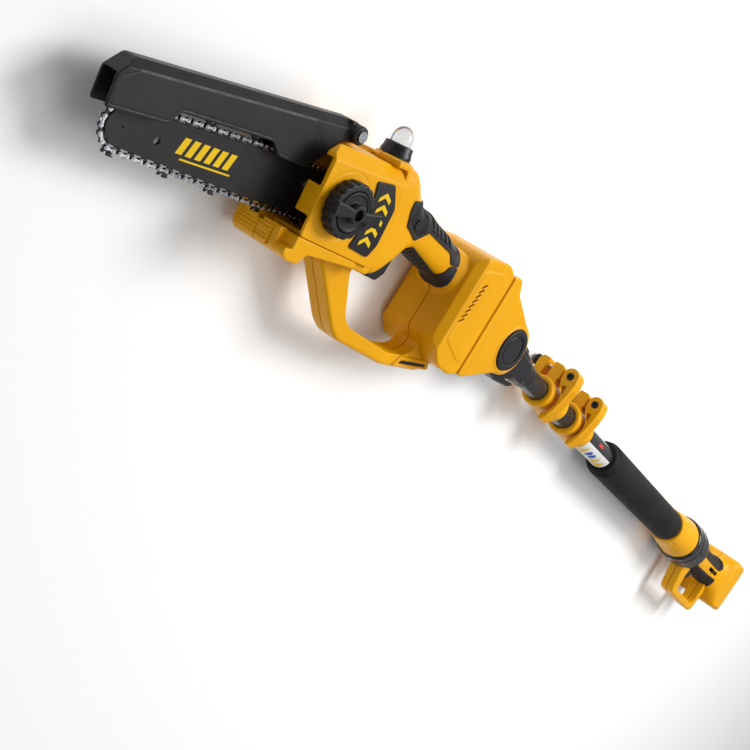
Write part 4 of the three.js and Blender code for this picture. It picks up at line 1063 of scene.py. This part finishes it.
def handle_casing():
    loop_side = [
        (953, -18), (958, -40), (976, -76), (988, -80), (1118, -84), (1128, -78), (1132, -50), (1132, -16)]
    finger_room = [
        (1000, -10), (988, -40), (996, -65), (1004, -68), (1106, -71), (1114, -64), (1113, -40), (1108, -10)]
    loop = cut(slab(loop_side, 8, -12.5, 12.5, 3.5), slab(finger_room, 6, -20, 20))
    stations = [(1003, *HANDLE_STATIONS[3][1:]), *HANDLE_STATIONS[4:8], (FLOOR_X, *HANDLE_STATIONS[8][1:])]
    plate = slab(rectangle(-38.2, 38.2, -53.2, 41.2), 9, 1141, 1180, 2.2, axis="x")
    groove = cut(
        slab(rectangle(-39, 39, -54, 42), 9, 1147, 1148.2, axis="x"),
        slab(rectangle(-37.6, 37.6, -52.6, 40.6), 8.6, 1146, 1150, axis="x"))
    seats = [rod("y", x, z, 3.0, -60, -11.5) for x, z in LOOP_SCREWS]
    vents = [box(1156 + 4.6 * i, 1158 + 4.6 * i, -45, -36.5, -2, 22) for i in range(4)]
    pits = [rod("y", 1149, z, 3.2, -60, -36.8) for z in (33, -40)]
    return cut(
        join(loft(HANDLE_STATIONS), loop, plate), loft(stations, -2.6),
        rod("x", 0, 0, 16.9, 949, 1000.3, 0, ROUND), rod("x", 0, 0, 9, 990, 1010),
        box(FLOOR_X + 3, 1181, -32, 32, -46, 34), box(FLOOR_X - 2, FLOOR_X + 5, -12, 12, -22, 8),
        box(TRIGGER_X - 20, TRIGGER_X + 20, -6.5, 6.5, -60, -10), groove, *seats, *vents, *pits)


def make_handle():
    near, far = halves(handle_casing())
    near = cut(near, box(1056, 1108, -30, -14, -6, 0.5))
    for side, body in (("near", near), ("far", far)):
        piece(f"handle_{side}", moulded(body, 0.9, 5), POLE, YELLOW, "root", f"handle_shell_{side}")
    heads = [screw("y", x, z, -10.6, -1, 2.4) for x, z in LOOP_SCREWS]
    piece("handle_screws", heads, POLE, CHARCOAL, "root", slot="bright_steel")
    upper = [(958, 6), (1064, 5), (1108, 5), (1116, 12), (1116, 44), (958, 44)]
    lower = [(958, -15), (1064, -13), (1112, -11), (1118, -44), (958, -44)]
    top = cut(
        skin(HANDLE_STATIONS, 0.2, 1.5, rounded(upper, 2)),
        common(
            skin(HANDLE_STATIONS, 0.4, 3, rounded(offset(upper, -1), 2)),
            stripes(spaced(962, 4.6, 33), 2.0, 3, 0, 50)))
    piece("handle_grip_top", moulded(top, 0.5, 2), POLE, RUBBER, "root", "handle_pad_top")
    bottom = skin(HANDLE_STATIONS, 0.2, 1.5, rounded(lower, 2))
    folds = common(
        skin(HANDLE_STATIONS, 1.0, 2.4, rounded(offset(lower, -2), 2)),
        stripes(spaced(968, 9, 16), 4.4, -6, -44, -10))
    bottom = cut(join(bottom, folds), box(TRIGGER_X - 30, TRIGGER_X + 21, -8, 8, -60, 0))
    piece("handle_grip_bottom", moulded(bottom, 0.5, 2), POLE, RUBBER, "root", "handle_pad_bottom")


def make_handle_controls():
    x = TRIGGER_X
    outline = rounded([
        (x - 17, -18), (x - 17, -38), (x - 8, -45), (x + 4, -41), (x + 10, -35), (x + 17, -31),
        (x + 17, -18)], 3.4)
    piece(
        "handle_trigger_blade", prism(outline, -6, 6, "y", 1.5, 4), POLE, CHARCOAL, "handle_trigger",
        "handle_trigger", smooth=50)
    slider = join(box(1070, 1086, -23, -18.8, -5, -0.5, 0.8), box(1072, 1084, -20, -15, -3.8, -1.2))
    teeth = [box(1072 + 3 * i, 1073.4 + 3 * i, -23.9, -22, -4.6, -0.9, 0.3) for i in range(5)]
    rail = box(1052, 1112, -17.6, -16.6, -8, 2.5)
    piece("slider_rail", cut(rail, box(1066, 1096, -20, -10, -4.4, -0.6)), POLE, CHARCOAL, "root")
    piece("slider", join(slider, *teeth), POLE, CHARCOAL, "handle_slider", "handle_slider")
    block = box(FLOOR_X + 3.3, FLOOR_X + 18, -20, 20, -24, 10, 1.0)
    slits = [box(FLOOR_X + 8, FLOOR_X + 30, y - 1.1, y + 1.1, -20, 6) for y in BLADE_YS]
    piece("terminal_block", cut(block, *slits), POLE, CHARCOAL, "root", "handle_terminals")
    blades = [box(FLOOR_X + 6, FLOOR_X + 16, y - 0.4, y + 0.4, -19, 5) for y in BLADE_YS]
    piece("terminal_blades", blades, POLE, BRIGHT_STEEL, "root")


# --- Kept CAD parts

KEPT = {
    BRIGHT_STEEL: "pivot_axle rotor drive_sprocket shaft_bearing guard_pin bar_stud "
                  "clamp_1_bolt clamp_2_bolt",
    CHARCOAL: "handle_switch adapter_latch adapter_contacts saw_switch saw_contacts",
    RUBBER: "power_cable lock_off_button",
    COPPER: "motor_stator",
    BOARD: "control_board",
}
EDGE = 0.0004


def finish_kept_parts():
    """CAD parts that show as they are get a small bevel and a finish."""
    for material, names in KEPT.items():
        for name in names.split():
            node = NODES[name]
            node.data.materials.clear()
            node.data.materials.append(material)
            bevel = node.modifiers.new("edge", "BEVEL")
            bevel.width = EDGE
            bevel.segments = 2
            bevel.limit_method = "ANGLE"
            bevel.angle_limit = radians(40)


# --- Floor, light and camera

FLOOR, FLOOR_GAP = 8.0, 0.0005
SKY_STRENGTH = 0.32
LAMPS = [("key", (0.5, 1.5, 1.9), 1.2, 60), ("overhead", (0.2, 0.1, 2.4), 1.8, 18)]
LAMP_TARGET = Vector((-0.2, 0, 0))
LENS = 59.1
CAMERA_SHIFT = (-0.048, -0.053)
CAMERA_PLACE = (-1.3999, -0.1352, 0.6975)
CAMERA_RIGHT = Vector((0.411, 0.582, 0.702))
CAMERA_FORWARD = Vector((0.83, 0.08, -0.552))


def make_studio():
    floor = body_from([
        (-FLOOR, -FLOOR, 0), (FLOOR, -FLOOR, 0), (FLOOR, FLOOR, 0), (-FLOOR, FLOOR, 0)], [(0, 1, 2, 3)])
    floor.name = "floor"
    floor.location.z = -FLOOR_GAP
    material, _, principled = shader("floor", (0.97, 0.97, 0.97), 0.8)
    fill(principled, {"Specular IOR Level": 0.1})
    floor.data.materials.append(material)
    world = bpy.data.worlds.new("studio")
    world.use_nodes = True
    fill(world.node_tree.nodes["Background"], {"Color": (1, 1, 1, 1), "Strength": SKY_STRENGTH})
    SCENE.world = world
    for name, place, width, power in LAMPS:
        light = bpy.data.lights.new(name, "AREA")
        light.size = width
        light.energy = power
        lamp = bpy.data.objects.new(name, light)
        lamp.location = place
        lamp.rotation_euler = (LAMP_TARGET - Vector(place)).to_track_quat("-Z", "Y").to_euler()
        SCENE.collection.objects.link(lamp)
    SCENE.view_settings.view_transform = "Standard"


def make_camera():
    data = bpy.data.cameras.new("camera")
    camera = bpy.data.objects.new("camera", data)
    right = CAMERA_RIGHT.normalized()
    forward = (CAMERA_FORWARD - right * CAMERA_FORWARD.dot(right)).normalized()
    up = right.cross(forward)
    data.sensor_width = 36
    data.lens = LENS
    data.shift_x, data.shift_y = CAMERA_SHIFT
    rows = [(right[i], up[i], -forward[i], p) for i, p in enumerate(CAMERA_PLACE)]
    camera.matrix_world = Matrix((*rows, (0, 0, 0, 1)))
    SCENE.collection.objects.link(camera)
    SCENE.camera = camera


for make in (
        make_camera, make_saw_shells, slot_inserts, sprocket_cover, motor_cover, front_chin, badge,
        make_saw_grip, make_knob, make_bulb, make_trigger, make_bar, make_chain, make_guard,
        make_adapter, make_knuckle, make_tubes, make_label, make_sleeves):
    make()
make_clamp(1, 180, TUBE_R["inner"], TUBE_R["middle"], "mid_pole")
make_clamp(2, 279, TUBE_R["middle"], TUBE_R["outer"], "root")
make_handle()
make_handle_controls()
finish_kept_parts()
make_studio()
